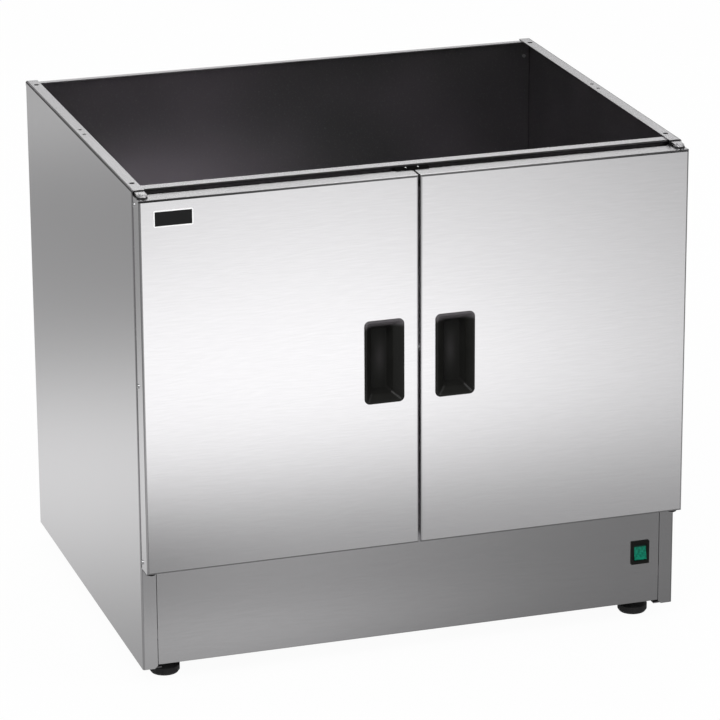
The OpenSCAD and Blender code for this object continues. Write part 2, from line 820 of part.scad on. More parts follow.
// The front plates lie behind the plinth's lip, where they can't be seen under it
module foot_plates() {
    lip_air = 0.5;
    color(steel) in_frame() both_sides() for (y = foot_ys) {
        edge = y == foot_y ? plinth_lip + lip_air : body_d - sheet_t - foot_plate;
        difference() {
            union() {
                translate([-inner_x + fold_in, edge, sheet_t]) cube([foot_plate, foot_plate, foot_plate_t]);
                translate([-foot_cx, y, sheet_t]) cylinder(r = boss_r, h = foot_plate_t + boss_h);
            }
            translate([-foot_cx, y, sheet_t - over])
                cylinder(r = stud_r + stud_fit, h = foot_plate_t + boss_h + 2 * over);
        }
    }
}

module pad(sx, y) {
    draft = 2;
    color(dark_plastic) in_frame() translate([sx * foot_cx, y, 0]) difference() {
        union() {
            translate([0, 0, -foot_h]) cylinder(r1 = pad_r - draft, r2 = pad_r, h = 3);
            translate([0, 0, 3 - foot_h]) cylinder(r = pad_r, h = 7);
            translate([0, 0, 10 - foot_h])
                cylinder(r1 = pad_r, r2 = stud_r + 6, h = foot_h - 10 + pad_top);
        }
        translate([0, 0, 8 - foot_h]) cylinder(r = stud_r + touch, h = foot_h);
    }
}

module stud(sx, y) {
    color(bright) in_frame() translate([sx * foot_cx, y, 0]) {
        translate([0, 0, 8 - foot_h]) cylinder(r = stud_r, h = foot_h - 8 + stud_top - 1);
        translate([0, 0, stud_top - 1]) cylinder(r1 = stud_r, r2 = stud_r - 1, h = 1);
        translate([0, 0, pad_top]) cylinder(r = 9.5, h = sheet_t - collar_air - pad_top, $fn = 6);
    }
}

module front_left_pad() { pad(-1, foot_ys[0]); }
module front_right_pad() { pad(1, foot_ys[0]); }
module rear_left_pad() { pad(-1, foot_ys[1]); }
module rear_right_pad() { pad(1, foot_ys[1]); }
module front_left_stud() { stud(-1, foot_ys[0]); }
module front_right_stud() { stud(1, foot_ys[0]); }
module rear_left_stud() { stud(-1, foot_ys[1]); }
module rear_right_stud() { stud(1, foot_ys[1]); }

// ---------------------------------------------------------------- doors
// Each door part is drawn for the left door, whose hinge is at its left.

door_screw_zs = [plinth_h + door_screw_end, (plinth_h + door_top) / 2, door_top - door_screw_end];
door_screw_y = -door_gap - liner_edge / 2;
door_screw_r = 1.7;

module door_skin() {
    window = handle_wall + 1;
    difference() {
        translate([-door_mid, door_front, (plinth_h + door_top) / 2]) difference() {
            soft_block(door_w, door_t, door_h, bend_r);
            translate([0, sheet_t, 0])
                soft_block(door_w - 2 * sheet_t, door_t, door_h - 2 * sheet_t, bend_r - sheet_t);
        }
        translate([-handle_x, door_front - over, handle_z])
            slab(handle_w - 2 * window, handle_h - 2 * window, handle_corner - window, sheet_t + 2 * over);
        bush_cuts();
        door_screw_cuts();
    }
}

module door_liner() {
    gap = sheet_t + liner_fit;
    w = door_w - 2 * gap;
    h = door_h - 2 * gap;
    difference() {
        translate([-door_mid, -door_gap, (plinth_h + door_top) / 2]) mirror([0, 1, 0]) difference() {
            soft_block(w, liner_edge, h, bend_r);
            translate([0, sheet_t, 0])
                soft_block(w - 2 * sheet_t, liner_edge, h - 2 * sheet_t, bend_r - sheet_t);
        }
        door_screw_cuts();
    }
}

module bush_cuts() {
    for (z = [plinth_h - over, door_top - sheet_t - over])
        translate([-pin_x, pin_y, z]) cylinder(r = bush_r + touch, h = sheet_t + 2 * over);
}

module door_screw_cuts() {
    for (z = door_screw_zs)
        translate([-half_w + door_inset - over, door_screw_y, z]) rotate([0, 90, 0])
            cylinder(r = door_screw_r + 0.1, h = 2 * sheet_t + liner_fit + 2 * over);
}

module door_screws() {
    for (z = door_screw_zs)
        translate([-half_w + door_inset, door_screw_y, z]) rotate([0, 90, 0]) {
            cylinder(r = door_screw_r, h = 2 * sheet_t + liner_fit + 2);
            translate([0, 0, -door_screw_head_h / 2])
                cylinder(r = door_screw_head_r, h = door_screw_head_h / 2);
            translate([0, 0, -door_screw_head_h])
                cylinder(r1 = door_screw_head_r - 1, r2 = door_screw_head_r, h = door_screw_head_h / 2);
        }
}

module bushes() {
    for (top = [false, true]) translate([-pin_x, pin_y, top ? door_top : plinth_h])
        mirror([0, 0, top ? 1 : 0]) difference() {
            union() {
                cylinder(r = bush_r, h = bush_l);
                translate([0, 0, -bush_collar_t]) cylinder(r = bush_collar_r, h = bush_collar_t);
            }
            translate([0, 0, -bush_collar_t - over])
                cylinder(r = pin_r + pin_fit, h = bush_l + bush_collar_t + 2 * over);
        }
}

module strike() {
    w = catch_w / 2 - door_middle_gap / 2 - sheet_t - 3;
    h = catch_h - 6;
    translate([-catch_w / 2, -door_gap, door_top - h - 3]) difference() {
        cube([w, strike_t, h]);
        translate([w / 2, strike_t / 2, h / 2]) rod_y(1.4, strike_t);
    }
}

// Dished pull: a rim on the door's face, bevels that fall to a deep finger well
module handle() {
    bevel_depth = 8;
    lip = 2.6;
    thin = 0.01;
    well_h = handle_h - 22;
    mouth_w = handle_w - 2 * lip;
    mouth_h = handle_h - 2 * lip;
    shift = -1.5;                     // the well lies a little towards the hinge
    floor_w = well_w - 8;
    shell = handle_wall + 1.25;
    translate([-handle_x, door_front, handle_z]) difference() {
        union() {
            hull() {
                translate([0, -handle_proud, 0])
                    slab(handle_w - 3, handle_h - 3, handle_corner - 1.5, thin, $fn = 32);
                translate([0, -handle_proud / 2, 0])
                    slab(handle_w, handle_h, handle_corner, handle_proud / 2, $fn = 32);
            }
            hull() {
                slab(handle_w - 2 * shell, handle_h - 2 * shell, handle_corner - 3.5, 2, $fn = 32);
                translate([shift, bevel_depth, 0])
                    slab(well_w + 2 * handle_wall + 2, well_h + 2 * handle_wall + 2, 5, 1, $fn = 32);
            }
            hull() {
                translate([shift, bevel_depth, 0])
                    slab(well_w + 2 * handle_wall, well_h + 2 * handle_wall, 5, 1, $fn = 32);
                translate([shift, well_depth, 0])
                    slab(floor_w + 2 * handle_wall, well_h - 4, 5, handle_wall, $fn = 32);
            }
        }
        hull() {
            translate([0, -handle_proud - over, 0])
                slab(mouth_w + 1, mouth_h + 1, handle_corner - lip, thin, $fn = 32);
            translate([shift, bevel_depth, 0]) slab(well_w, well_h, 3.5, thin, $fn = 32);
        }
        hull() {
            translate([shift, bevel_depth - thin, 0]) slab(well_w, well_h, 3.5, thin, $fn = 32);
            translate([shift, well_depth - thin, 0]) slab(floor_w, well_h - 8, 3.5, thin, $fn = 32);
        }
    }
}

module left_door_skin() { color(steel) in_frame() door_skin(); }
module left_door_liner() { color(steel) in_frame() door_liner(); }
module left_handle() { color(dark_plastic) in_frame() handle(); }
module left_bushes() { color(nylon) in_frame() bushes(); }
module left_strike() { color(bright) in_frame() strike(); }
module left_door_screws() { color(bright) in_frame() door_screws(); }
module right_door_skin() { color(steel) in_frame() on_right() door_skin(); }
module right_door_liner() { color(steel) in_frame() on_right() door_liner(); }
module right_handle() { color(dark_plastic) in_frame() on_right() handle(); }
module right_bushes() { color(nylon) in_frame() on_right() bushes(); }
module right_strike() { color(bright) in_frame() on_right() strike(); }
module right_door_screws() { color(bright) in_frame() on_right() door_screws(); }

module badge_plate() {
    well = 0.3;
    corner = 2;
    color(dark_plastic) in_frame()
        translate([-half_w + door_inset + badge_x, door_front - badge_t, door_top - badge_drop])
            difference() {
                slab(badge_w, badge_h, corner, badge_t);
                translate([0, well - over, 0])
                    slab(badge_w - 2 * badge_rim, badge_h - 2 * badge_rim, corner - badge_rim / 2, over);
            }
}

// ---------------------------------------------------------------- the cabinet

left_side_panel();
right_side_panel();
back_panel();
front_top_rail();
plinth_panel();
cabinet_floor();
bottom_pan();
left_shelf_support();
right_shelf_support();
wire_shelf();
heating_element();
element_combs();
element_terminals();
limit_thermostat();
terminal_block();
earth_stud();
cable_gland();
gland_nut();
switch_body();
switch_terminals();
switch_rocker();
magnetic_catch();
catch_poles();
upper_hinge_plates();
lower_hinge_plates();
hinge_pins();
hinge_screws();
back_rivets();
foot_plates();
left_door_skin();
left_door_liner();
left_handle();
left_bushes();
left_strike();
left_door_screws();
badge_plate();
right_door_skin();
right_door_liner();
right_handle();
right_bushes();
right_strike();
right_door_screws();
front_left_pad();
front_left_stud();
front_right_pad();
front_right_stud();
rear_left_pad();
rear_left_stud();
rear_right_pad();
rear_right_stud();
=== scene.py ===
import math

import bmesh
import bpy
from mathutils import Matrix, Vector


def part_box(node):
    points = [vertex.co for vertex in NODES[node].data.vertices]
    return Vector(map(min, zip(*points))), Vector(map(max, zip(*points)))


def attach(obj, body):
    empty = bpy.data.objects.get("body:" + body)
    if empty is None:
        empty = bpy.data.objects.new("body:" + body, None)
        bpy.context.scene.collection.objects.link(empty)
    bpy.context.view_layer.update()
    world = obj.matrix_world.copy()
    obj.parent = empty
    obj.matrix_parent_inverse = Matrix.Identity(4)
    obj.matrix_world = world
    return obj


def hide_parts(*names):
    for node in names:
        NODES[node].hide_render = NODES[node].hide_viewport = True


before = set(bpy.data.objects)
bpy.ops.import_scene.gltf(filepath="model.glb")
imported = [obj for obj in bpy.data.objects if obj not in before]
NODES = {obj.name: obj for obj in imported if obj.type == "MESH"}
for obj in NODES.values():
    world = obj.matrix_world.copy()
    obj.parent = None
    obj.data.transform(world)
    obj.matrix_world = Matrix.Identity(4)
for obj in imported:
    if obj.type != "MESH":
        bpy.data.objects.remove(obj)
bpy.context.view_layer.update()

bl_info = {
    "name": "Plate warmer cabinet",
    "version": (1, 0, 0),
    "blender": (4, 5, 0),
    "location": "3D View > Sidebar > Plate warmer",
    "description": "Finishes a folded steel plate warmer cabinet and its studio",
    "category": "Object",
}

MM = 0.001
SHEET = 1.5 * MM          # thickness of the folded sheet

BEND = 2.5 * MM           # outside radius of a fold


def around(*nodes):
    """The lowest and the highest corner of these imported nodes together."""
    lows, highs = zip(*(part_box(node) for node in nodes))
    return (Vector([min(values) for values in zip(*lows)]),
            Vector([max(values) for values in zip(*highs)]))


BODY_LOW, BODY_HIGH = around("left_side_panel", "right_side_panel")
DOOR_LOW, DOOR_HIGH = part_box("left_door_skin")


# ------------------------------------------------------------------ node trees

def pick(sockets, key):
    """The socket at this position, or with this identifier or name."""
    if isinstance(key, int):
        return sockets[key]
    for socket in sockets:
        if socket.identifier == key:
            return socket
    return sockets[key]


class Value:
    """A number on a socket. Python's operators on it add Math nodes."""

    def __init__(self, tree, socket):
        self.tree, self.socket = tree, socket

    def math(self, operation, *values):
        return self.tree.node("ShaderNodeMath", {"operation": operation}, dict(enumerate(values)))

    def __add__(self, other):
        return self.math("ADD", self, other)

    def __sub__(self, other):
        return self.math("SUBTRACT", self, other)

    def __rsub__(self, other):
        return self.math("SUBTRACT", other, self)

    def __mul__(self, other):
        return self.math("MULTIPLY", self, other)

    def __truediv__(self, other):
        return self.math("DIVIDE", self, other)

    def __abs__(self):
        return self.math("ABSOLUTE", self)

    def __lt__(self, other):
        return self.math("LESS_THAN", self, other)

    def __gt__(self, other):
        return self.math("GREATER_THAN", self, other)

    __radd__, __rmul__ = __add__, __mul__

    def bell(self):
        """1 where the value is 0, falling smoothly to 0 on both sides."""
        return self.math("EXPONENT", self * self * -1.0)

    def most(self, other):
        return self.math("MAXIMUM", self, other)

    def least(self, other):
        return self.math("MINIMUM", self, other)


class Tree:
    """Adds nodes to one node tree."""

    def __init__(self, tree):
        self.tree = tree

    def node(self, kind, settings=None, inputs=None, out=0):
        """Adds a node with its settings first, then its sockets' values or links, and gives
        the output named, or a list of them."""
        made = self.tree.nodes.new(kind)
        for key, value in (settings or {}).items():
            if key == "stops":
                elements = made.color_ramp.elements
                for i, (place, colour) in enumerate(value):
                    element = elements[i] if i < 2 else elements.new(place)
                    element.position, element.color = place, (*colour, 1.0)
            else:
                setattr(made, key, value)
        for key, value in (inputs or {}).items():
            self.feed(pick(made.inputs, key), value)
        if isinstance(out, tuple):
            return [Value(self, pick(made.outputs, name)) for name in out]
        return Value(self, pick(made.outputs, out)) if len(made.outputs) else made

    def feed(self, socket, value):
        if isinstance(value, Value):
            self.tree.links.new(value.socket, socket)
        elif socket.type == "RGBA":
            socket.default_value = (*value[:3], 1.0)
        else:
            socket.default_value = value

    def mix(self, factor, first, second):
        """A colour between two colours."""
        return self.node("ShaderNodeMix", {"data_type": "RGBA"},
                         {"Factor_Float": factor, "A_Color": first, "B_Color": second},
                         "Result_Color")

    def noise(self, at, scale, detail=2.0, rough=0.5, bend=0.0):
        return self.node("ShaderNodeTexNoise", {"noise_dimensions": "3D"},
                         {"Vector": at, "Scale": scale, "Detail": detail, "Roughness": rough,
                          "Distortion": bend}, "Fac")

    def stretched(self, at, scale):
        return self.node("ShaderNodeMapping", {"vector_type": "POINT"}, {"Vector": at, "Scale": scale})

    def step(self, value, low, high, start=0.0, end=1.0):
        """Rises smoothly from start to end while the value goes from low to high."""
        return self.node("ShaderNodeMapRange", {"interpolation_type": "SMOOTHSTEP"},
                         {"Value": value, "From Min": low, "From Max": high,
                          "To Min": start, "To Max": end}, "Result")


class Finish(Tree):
    """A material on object coordinates that ends in one Principled shader."""

    def __init__(self, name):
        self.material = bpy.data.materials.new(name)
        self.material.use_nodes = True
        super().__init__(self.material.node_tree)
        self.tree.nodes.clear()
        self.at = self.node("ShaderNodeTexCoord", out="Object")
        self.x, self.y, self.z = self.node("ShaderNodeSeparateXYZ", inputs={0: self.at},
                                           out=("X", "Y", "Z"))

    def bump(self, height, strength, distance):
        return self.node("ShaderNodeBump", inputs={"Height": height, "Strength": strength,
                                                   "Distance": distance})

    def end(self, **sockets):
        """Connects the shader; an underscore in a name stands for a space."""
        shader = self.node("ShaderNodeBsdfPrincipled",
                           inputs={k.replace("_", " "): v for k, v in sockets.items()})
        self.node("ShaderNodeOutputMaterial", inputs={"Surface": shader})
        return self.material


# ------------------------------------------------------------------ finishes

GRAIN = {"x": (45.0, 900.0, 900.0), "y": (900.0, 45.0, 900.0), "z": (900.0, 900.0, 45.0)}


def shaded(colour, share):
    return tuple(c * share for c in colour)


def sheet_steel(name, grain, inside=None, folds=None, painted_dimming=None, deep=1.0, glow=None):
    """Brushed sheet with fine grain along one axis. inside gives the mask of the faces that
    look into the cabinet, which are painted dull and dark as painted shade, deep makes that
    painted shade darker, and glow gives the share of a painted patch of light. folds gives the
    mask of the folds that get a painted dark line of shade, and wash a share of painted shade that
    dims the sheet."""
    steel = bpy.context.scene.warmer_steel
    colour = tuple(steel.colour)
    inner = steel.inner_tone * deep
    f = Finish(name)
    lines = f.noise(f.stretched(f.at, GRAIN[grain]), 1.0, 2.0, 0.5)
    speck = f.noise(f.at, 1100.0, 2.0, 0.6)
    cloud = f.noise(f.at, 5.0, 3.0, 0.5)
    tone = (lines - 0.5) * 0.5 + (speck - 0.5) * 0.8 + (cloud - 0.5) * 0.12
    base = f.mix(f.step(tone, -0.5, 0.5), shaded(colour, 1 - steel.grain),
                 shaded(colour, 1 + steel.grain))
    rough = steel.roughness + (speck - 0.5) * 0.04 + (cloud - 0.5) * 0.03
    if painted_dimming is not None:
        # Painted shade dims the sheet here
        base = f.mix(painted_dimming(f), (0.0, 0.0, 0.0), base)
    if folds is not None:
        # Painted shade: a dark line along the folds stands for the shade they mirror
        base = f.mix(folds(f) * steel.fold_shade, base, (0.0, 0.0, 0.0))
    if inside is not None:
        # Painted shade: the faces that look into the cabinet are darkened to the inner tone's share,
        # with dust and haze in it
        mask = inside(f)
        dust = f.noise(f.at, 380.0, 4.0, 0.7)
        haze = f.noise(f.at, 3.2, 2.0, 0.5)
        dull = f.mix(f.step(haze, 0.38, 0.66), shaded(colour, inner), shaded(steel.haze, inner * 1.5))
        dull = f.mix(f.step(dust, 0.54, 0.72, 0.0, 0.6), dull, shaded(colour, inner * 2.4))
        if glow is not None:
            # Painted light: a soft patch of light on the back's inner face, in the haze colour made
            # brighter
            dull = f.mix(glow(f), dull, shaded(steel.haze, inner * 3.5))
        base = f.mix(mask, base, dull)
        rough = rough + mask * 0.10
    return f.end(Base_Color=base, Metallic=1.0, Roughness=rough,
                 Normal=f.bump(lines * 0.5 + speck * 0.5, 0.06, 0.00005))


def side_inside(f):
    """The inner faces, the walls of the flanges' holes and the returns behind the doors."""
    inner = ((abs(f.x) < BODY_HIGH.x - SHEET * 0.5) * (f.z < BODY_HIGH.z - SHEET * 0.07)
             * (f.y < BODY_HIGH.y - SHEET * 0.8))
    return inner * (f.y > BODY_LOW.y + SHEET * 0.8).most(f.z > DOOR_LOW.z)


def side_folds(f):
    """Where a painted dark line of shade runs: the fold under a flange, and more faintly the one
    beside the return.
    """
    flange, upright = f.z > BODY_HIGH.z - BEND, f.y < BODY_LOW.y + BEND
    return (abs(f.x) > BODY_HIGH.x - BEND) * flange.most(upright * 0.35)


def door_folds(f):
    """Where a painted dark line of shade runs: the folds round a door's face, apart from the one
    beside the other door.
    """
    top = (f.z > DOOR_HIGH.z - BEND) * f.step(abs(f.x), 0.0, -DOOR_LOW.x, 0.45, 1.0)
    ends = top.most((f.z < DOOR_LOW.z + BEND) * 0.7)
    return (f.y < DOOR_LOW.y + BEND) * ends.most((abs(f.x) > -DOOR_LOW.x - BEND) * 0.5)


def rail_folds(f):
    """Where a painted dark line of shade runs: the fold along the rail's front edge."""
    low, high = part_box("front_top_rail")
    return (f.y < low.y + BEND) * (f.z > high.z - BEND)


def plinth_painted_shade(f):
    """Painted shade: the plinth is dimmer towards the switch."""
    return f.step(f.x, BODY_LOW.x, BODY_HIGH.x, 1.0, 0.52)


def side_painted_shade(f):
    """Painted shade: the returns beside the plinth are as dim as it is."""
    return 1 - (f.y < BODY_LOW.y + SHEET * 0.5) * (1 - plinth_painted_shade(f))


def back_inside(f):
    """The back's inner face, below its upper edge."""
    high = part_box("back_panel")[1]
    return (f.y < high.y - SHEET * 0.7) * (f.z < high.z - SHEET * 0.8)


def back_glow(f):
    """A soft patch of light on the back's inner face, left of its middle."""
    return ((f.x + 0.22) / 0.20).bell() * ((f.z - 0.48) / 0.07).bell()


def rail_inside(f):
    """All of the rail but the upper face, which only the light from above reaches."""
    return f.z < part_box("front_top_rail")[1].z - SHEET * 0.5


def everywhere(f):
    """All of a sheet that lies inside the cabinet."""
    return f.z > -1.0


def plain_metal(name, colour, roughness, mottle=0.04):
    """Plated or drawn metal with a fine even mottle."""
    f = Finish(name)
    fine = f.noise(f.at, 900.0, 3.0, 0.6)
    cloud = f.noise(f.at, 60.0, 2.0)
    base = f.mix(f.step(fine * 0.6 + cloud * 0.4, 0.35, 0.65),
                 shaded(colour, 1 - mottle), shaded(colour, 1 + mottle))
    return f.end(Base_Color=base, Metallic=1.0, Roughness=roughness + (cloud - 0.5) * 0.08,
                 Normal=f.bump(fine, 0.15, 0.00008))


def moulded(name, colour, roughness, texture=1100.0, depth=0.00006, mottle=0.12, gloss=0.5,
            lit=None, dull=None):
    """Moulded plastic, rubber or ceramic with the fine texture of its mould. lit gives how far
    a place is painted lighter as a highlight, and dull how much rougher a place is."""
    f = Finish(name)
    fine = f.noise(f.at, texture, 2.0, 0.6)
    cloud = f.noise(f.at, 40.0, 3.0)
    base = f.mix(f.step(cloud, 0.3, 0.7), shaded(colour, 1 - mottle), shaded(colour, 1 + mottle))
    rough = roughness + (cloud - 0.5) * 0.10 + (fine - 0.5) * 0.08
    if lit is not None:
        # Painted highlight: a lighter grey where lit marks it
        base = f.mix(lit(f), base, (0.20, 0.185, 0.20))
    if dull is not None:
        rough = rough + dull(f)
    return f.end(Base_Color=base, Roughness=rough, Specular_IOR_Level=gloss,
                 Normal=f.bump(fine, 0.35, depth))


def pull_painted_highlight(f):
    """Painted highlights on the upper bevel of a pull and in the middle of its well."""
    low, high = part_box("left_handle")
    middle = (low + high) / 2
    upper = f.step(f.z, high.z - 12 * MM, high.z - 5 * MM, 0.0, 0.40)
    across = ((abs(f.x) + middle.x) / (6 * MM)).bell()
    along = ((f.z - middle.z) / (20 * MM)).bell()
    return upper + across * along * 0.09


def pull_well(f):
    """The finger well of a pull, deeper than its bevels."""
    return (f.y > DOOR_LOW.y + 8.5 * MM) * 0.40


def hinge_plate_finish():
    """Hinge plate, near-black behind the door's top and bare steel in its front part, over the door.
    """
    f = Finish("hinge plate steel")
    fine = f.noise(f.at, 900.0, 2.0, 0.6)
    bare = f.y < DOOR_HIGH.y
    base = f.mix(bare, f.mix(fine, (0.010, 0.010, 0.010), (0.020, 0.020, 0.020)),
                 f.mix(fine, (0.76, 0.75, 0.76), (0.88, 0.87, 0.88)))
    return f.end(Base_Color=base, Metallic=bare, Roughness=0.24 + (1 - bare) * 0.36,
                 Specular_IOR_Level=0.3, Normal=f.bump(fine, 0.1, 0.00005))


def rubbed_rubber():
    """Foot rubber with dust on the slope and at the floor."""
    f = Finish("foot rubber")
    dust = f.noise(f.at, 320.0, 4.0, 0.7)
    low = f.step(f.z, 0.000, 0.006, 1.0, 0.0)
    share = f.step(dust, 0.52, 0.72) * (0.25 + low * 0.5)
    base = f.mix(share, (0.014, 0.014, 0.015), (0.10, 0.098, 0.094))
    return f.end(Base_Color=base, Roughness=0.55 + share * 0.3, Normal=f.bump(dust, 0.3, 0.0001))


def lens_green():
    """Mottled green lens, darker at its upper end, where painted shade stands for the bezel's shadow.
    """
    low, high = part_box("switch_rocker")
    middle, half = (low.z + high.z) / 2, (high.z - low.z) / 2
    f = Finish("green rocker lens")
    mottle = f.noise(f.at, 330.0, 3.0, 0.7)
    ends = f.step((f.z - middle) / half, 0.62, 0.86)
    base = f.mix(f.step(mottle, 0.36, 0.66), (0.001, 0.095, 0.060), (0.003, 0.225, 0.135))
    # Painted shade at the lens's upper end, under the bezel
    base = f.mix(ends, base, (0.002, 0.016, 0.012))
    return f.end(Base_Color=base, Roughness=0.30 + mottle * 0.08, Coat_Weight=0.1,
                 Coat_Roughness=0.06, Specular_IOR_Level=0.15, Normal=f.bump(mottle, 0.1, 0.0001))


def plate_finish():
    """Bare name plate: dark field inside a light rim."""
    low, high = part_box("badge_plate")
    rim = 1.4 * MM
    middle = (low + high) / 2
    f = Finish("bare plate")
    edge = (abs(f.x - middle.x) - (high.x - low.x) / 2 + rim).most(
        abs(f.z - middle.z) - (high.z - low.z) / 2 + rim)
    light = f.step(edge, -0.1 * MM, 0.1 * MM)
    fine = f.noise(f.at, 900.0, 2.0)
    base = f.mix(light, f.mix(fine, (0.006, 0.006, 0.006), (0.012, 0.012, 0.013)),
                 f.mix(fine, (0.96, 0.96, 0.96), (1.0, 1.0, 1.0)))
    return f.end(Base_Color=base, Roughness=0.42 + fine * 0.08, Specular_IOR_Level=0.2,
                 Normal=f.bump(fine, 0.1, 0.00005))


def element_tube():
    """Heating tube, browned in bands by use."""
    f = Finish("heating tube")
    heat = f.noise(f.stretched(f.at, (10.0, 2.0, 2.0)), 1.0, 3.0, 0.6)
    fine = f.noise(f.at, 500.0, 2.0)
    base = f.node("ShaderNodeValToRGB", {"stops": [
        (0.30, (0.20, 0.15, 0.10)), (0.70, (0.34, 0.32, 0.30)), (0.50, (0.13, 0.12, 0.15))]},
        {"Fac": heat}, "Color")
    return f.end(Base_Color=base, Metallic=0.8, Roughness=0.45 + fine * 0.15,
                 Normal=f.bump(fine, 0.2, 0.0001))


def dress(material, *nodes):
    """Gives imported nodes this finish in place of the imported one."""
    for node in nodes:
        for slot in NODES[node].material_slots:
            slot.material = material


# ------------------------------------------------------------------ meshes

def put_mesh(name, build, material, body, smooth=35.0):
    """Makes an object of a bmesh that build fills, with its place in its mesh."""
    mesh = bpy.data.meshes.new(name)
    bm = bmesh.new()
    build(bm)
    bmesh.ops.remove_doubles(bm, verts=bm.verts, dist=0.001 * MM)
    bmesh.ops.recalc_face_normals(bm, faces=bm.faces)
    bm.to_mesh(mesh)
    bm.free()
    mesh.materials.append(material)
    return put(name, mesh, body, smooth)


def put(name, mesh, body, smooth=35.0):
    """Puts a finished mesh in the scene as a piece that rides on a body."""
    mesh.polygons.foreach_set("use_smooth", [True] * len(mesh.polygons))
    mesh.set_sharp_from_angle(angle=math.radians(smooth))
    piece = bpy.data.objects.new(name, mesh)
    bpy.context.scene.collection.objects.link(piece)
    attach(piece, body)
    return piece


def lathe(bm, profile, place, axis, steps=32):
    """Turns a profile of (radius, height) points round an axis: closed at both ends."""
    turn = Vector((0, 0, 1)).rotation_difference(Vector(axis)).to_matrix()
    rings = []
    for radius, height in profile:
        ring = []
        for i in range(steps if radius > 0 else 1):
            a = 2 * math.pi * i / steps
            point = Vector((radius * math.cos(a), radius * math.sin(a), height))
            ring.append(bm.verts.new(Vector(place) + turn @ point))
        rings.append(ring)
    for low, high in zip(rings, rings[1:]):
        for i in range(steps):
            j = (i + 1) % steps
            corners = [low[i % len(low)], low[j % len(low)], high[j % len(high)], high[i % len(high)]]
            corners = [v for k, v in enumerate(corners) if v not in corners[:k]]
            if len(corners) > 2:
                bm.faces.new(corners)
    for ring in (rings[0], rings[-1]):
        if len(ring) > 1:
            bm.faces.new(ring)


def softened(stations, reach):
    """Rounds each inner corner of a row of stations with a short curve."""
    out = [stations[0]]
    for before, here, after in zip(stations, stations[1:], stations[2:]):
        ends = []
        for other in (before, after):
            gap = [o - h for o, h in zip(other, here)]
            far = math.hypot(gap[0] / 2, gap[-1])
            share = min(0.45, reach / far) if far else 0.0
            ends.append([h + g * share for h, g in zip(here, gap)])
        for u in (0.0, 0.25, 0.5, 0.75, 1.0):
            out.append([(1 - u) ** 2 * p + 2 * u * (1 - u) * h + u * u * n
                        for p, h, n in zip(ends[0], here, ends[1])])
    return out + [stations[-1]]


def loft(bm, stations, centre, side, per_corner=7):
    """Skins rounded rectangles. A station is width, height, corner radius, shift towards the
    hinge and depth behind the centre; side is -1 for a left door and 1 for a right one."""
    rings = []
    for w, h, r, shift, depth in stations:
        ring = []
        for qx, qz, start in ((1, 1, 0), (-1, 1, 90), (-1, -1, 180), (1, -1, 270)):
            for i in range(per_corner + 1):
                a = math.radians(start + 90 * i / per_corner)
                ring.append(bm.verts.new((
                    centre.x + side * shift + qx * (w / 2 - r) + r * math.cos(a),
                    centre.y + depth,
                    centre.z + qz * (h / 2 - r) + r * math.sin(a))))
        rings.append(ring)
    for low, high in zip(rings, rings[1:]):
        for i in range(len(low)):
            j = (i + 1) % len(low)
            bm.faces.new((low[i], low[j], high[j], high[i]))
    bm.faces.new(rings[0])
    bm.faces.new(rings[-1])


# ------------------------------------------------------------------ repeated pieces

class Repeat(Tree):
    """A geometry tree with named inputs that ends in Realize Instances and Set Material."""

    def __init__(self, name, inputs):
        super().__init__(bpy.data.node_groups.new(name, "GeometryNodeTree"))
        sockets = self.tree.interface
        sockets.new_socket("Geometry", in_out="INPUT", socket_type="NodeSocketGeometry")
        for label, kind, value in inputs:
            made = sockets.new_socket(label, in_out="INPUT", socket_type="NodeSocket" + kind)
            if value is not None:
                made.default_value = value
        sockets.new_socket("Finish", in_out="INPUT", socket_type="NodeSocketMaterial")
        sockets.new_socket("Geometry", in_out="OUTPUT", socket_type="NodeSocketGeometry")
        self.input = self.tree.nodes.new("NodeGroupInput")

    def given(self, label):
        return Value(self, self.input.outputs[label])

    def end(self, geometry):
        real = self.node("GeometryNodeRealizeInstances", inputs={"Geometry": geometry})
        done = self.node("GeometryNodeSetMaterial", inputs={"Geometry": real,
                                                            "Material": self.given("Finish")})
        self.node("NodeGroupOutput", inputs={"Geometry": done})
        return self.tree

    def joined(self, *parts):
        join = self.tree.nodes.new("GeometryNodeJoinGeometry")
        for part in parts:
            self.tree.links.new(part.socket, join.inputs[0])
        return Value(self, join.outputs[0])


def grown(name, mesh, tree, values):
    """The plain mesh that the tree makes of a mesh with these values of its named inputs."""
    holder = bpy.data.objects.new(name, mesh)
    bpy.context.scene.collection.objects.link(holder)
    modifier = holder.modifiers.new("repeat", "NODES")
    modifier.node_group = tree
    for item in tree.interface.items_tree:
        if item.item_type == "SOCKET" and item.in_out == "INPUT" and item.name in values:
            modifier[item.identifier] = values[item.name]
    graph = bpy.context.evaluated_depsgraph_get()
    made = bpy.data.meshes.new_from_object(holder.evaluated_get(graph), depsgraph=graph)
    holder.modifiers.remove(modifier)
    bpy.data.objects.remove(holder)
    if not made.polygons:
        raise RuntimeError(f"{name}: its tree made nothing")
    made.name = name
    return made


def mesh_of(name, build):
    mesh = bpy.data.meshes.new(name)
    bm = bmesh.new()
    build(bm)
    bmesh.ops.recalc_face_normals(bm, faces=bm.faces)
    bm.to_mesh(mesh)
    bm.free()
    return mesh


def points_mesh(name, places):
    mesh = bpy.data.meshes.new(name)
    mesh.from_pydata([tuple(p) for p in places], [], [])
    return mesh


def holder_of(name, mesh):
    """A helper object that a tree copies; it is removed when the pieces are made."""
    holder = bpy.data.objects.new(name, mesh)
    bpy.context.scene.collection.objects.link(holder)
    return holder


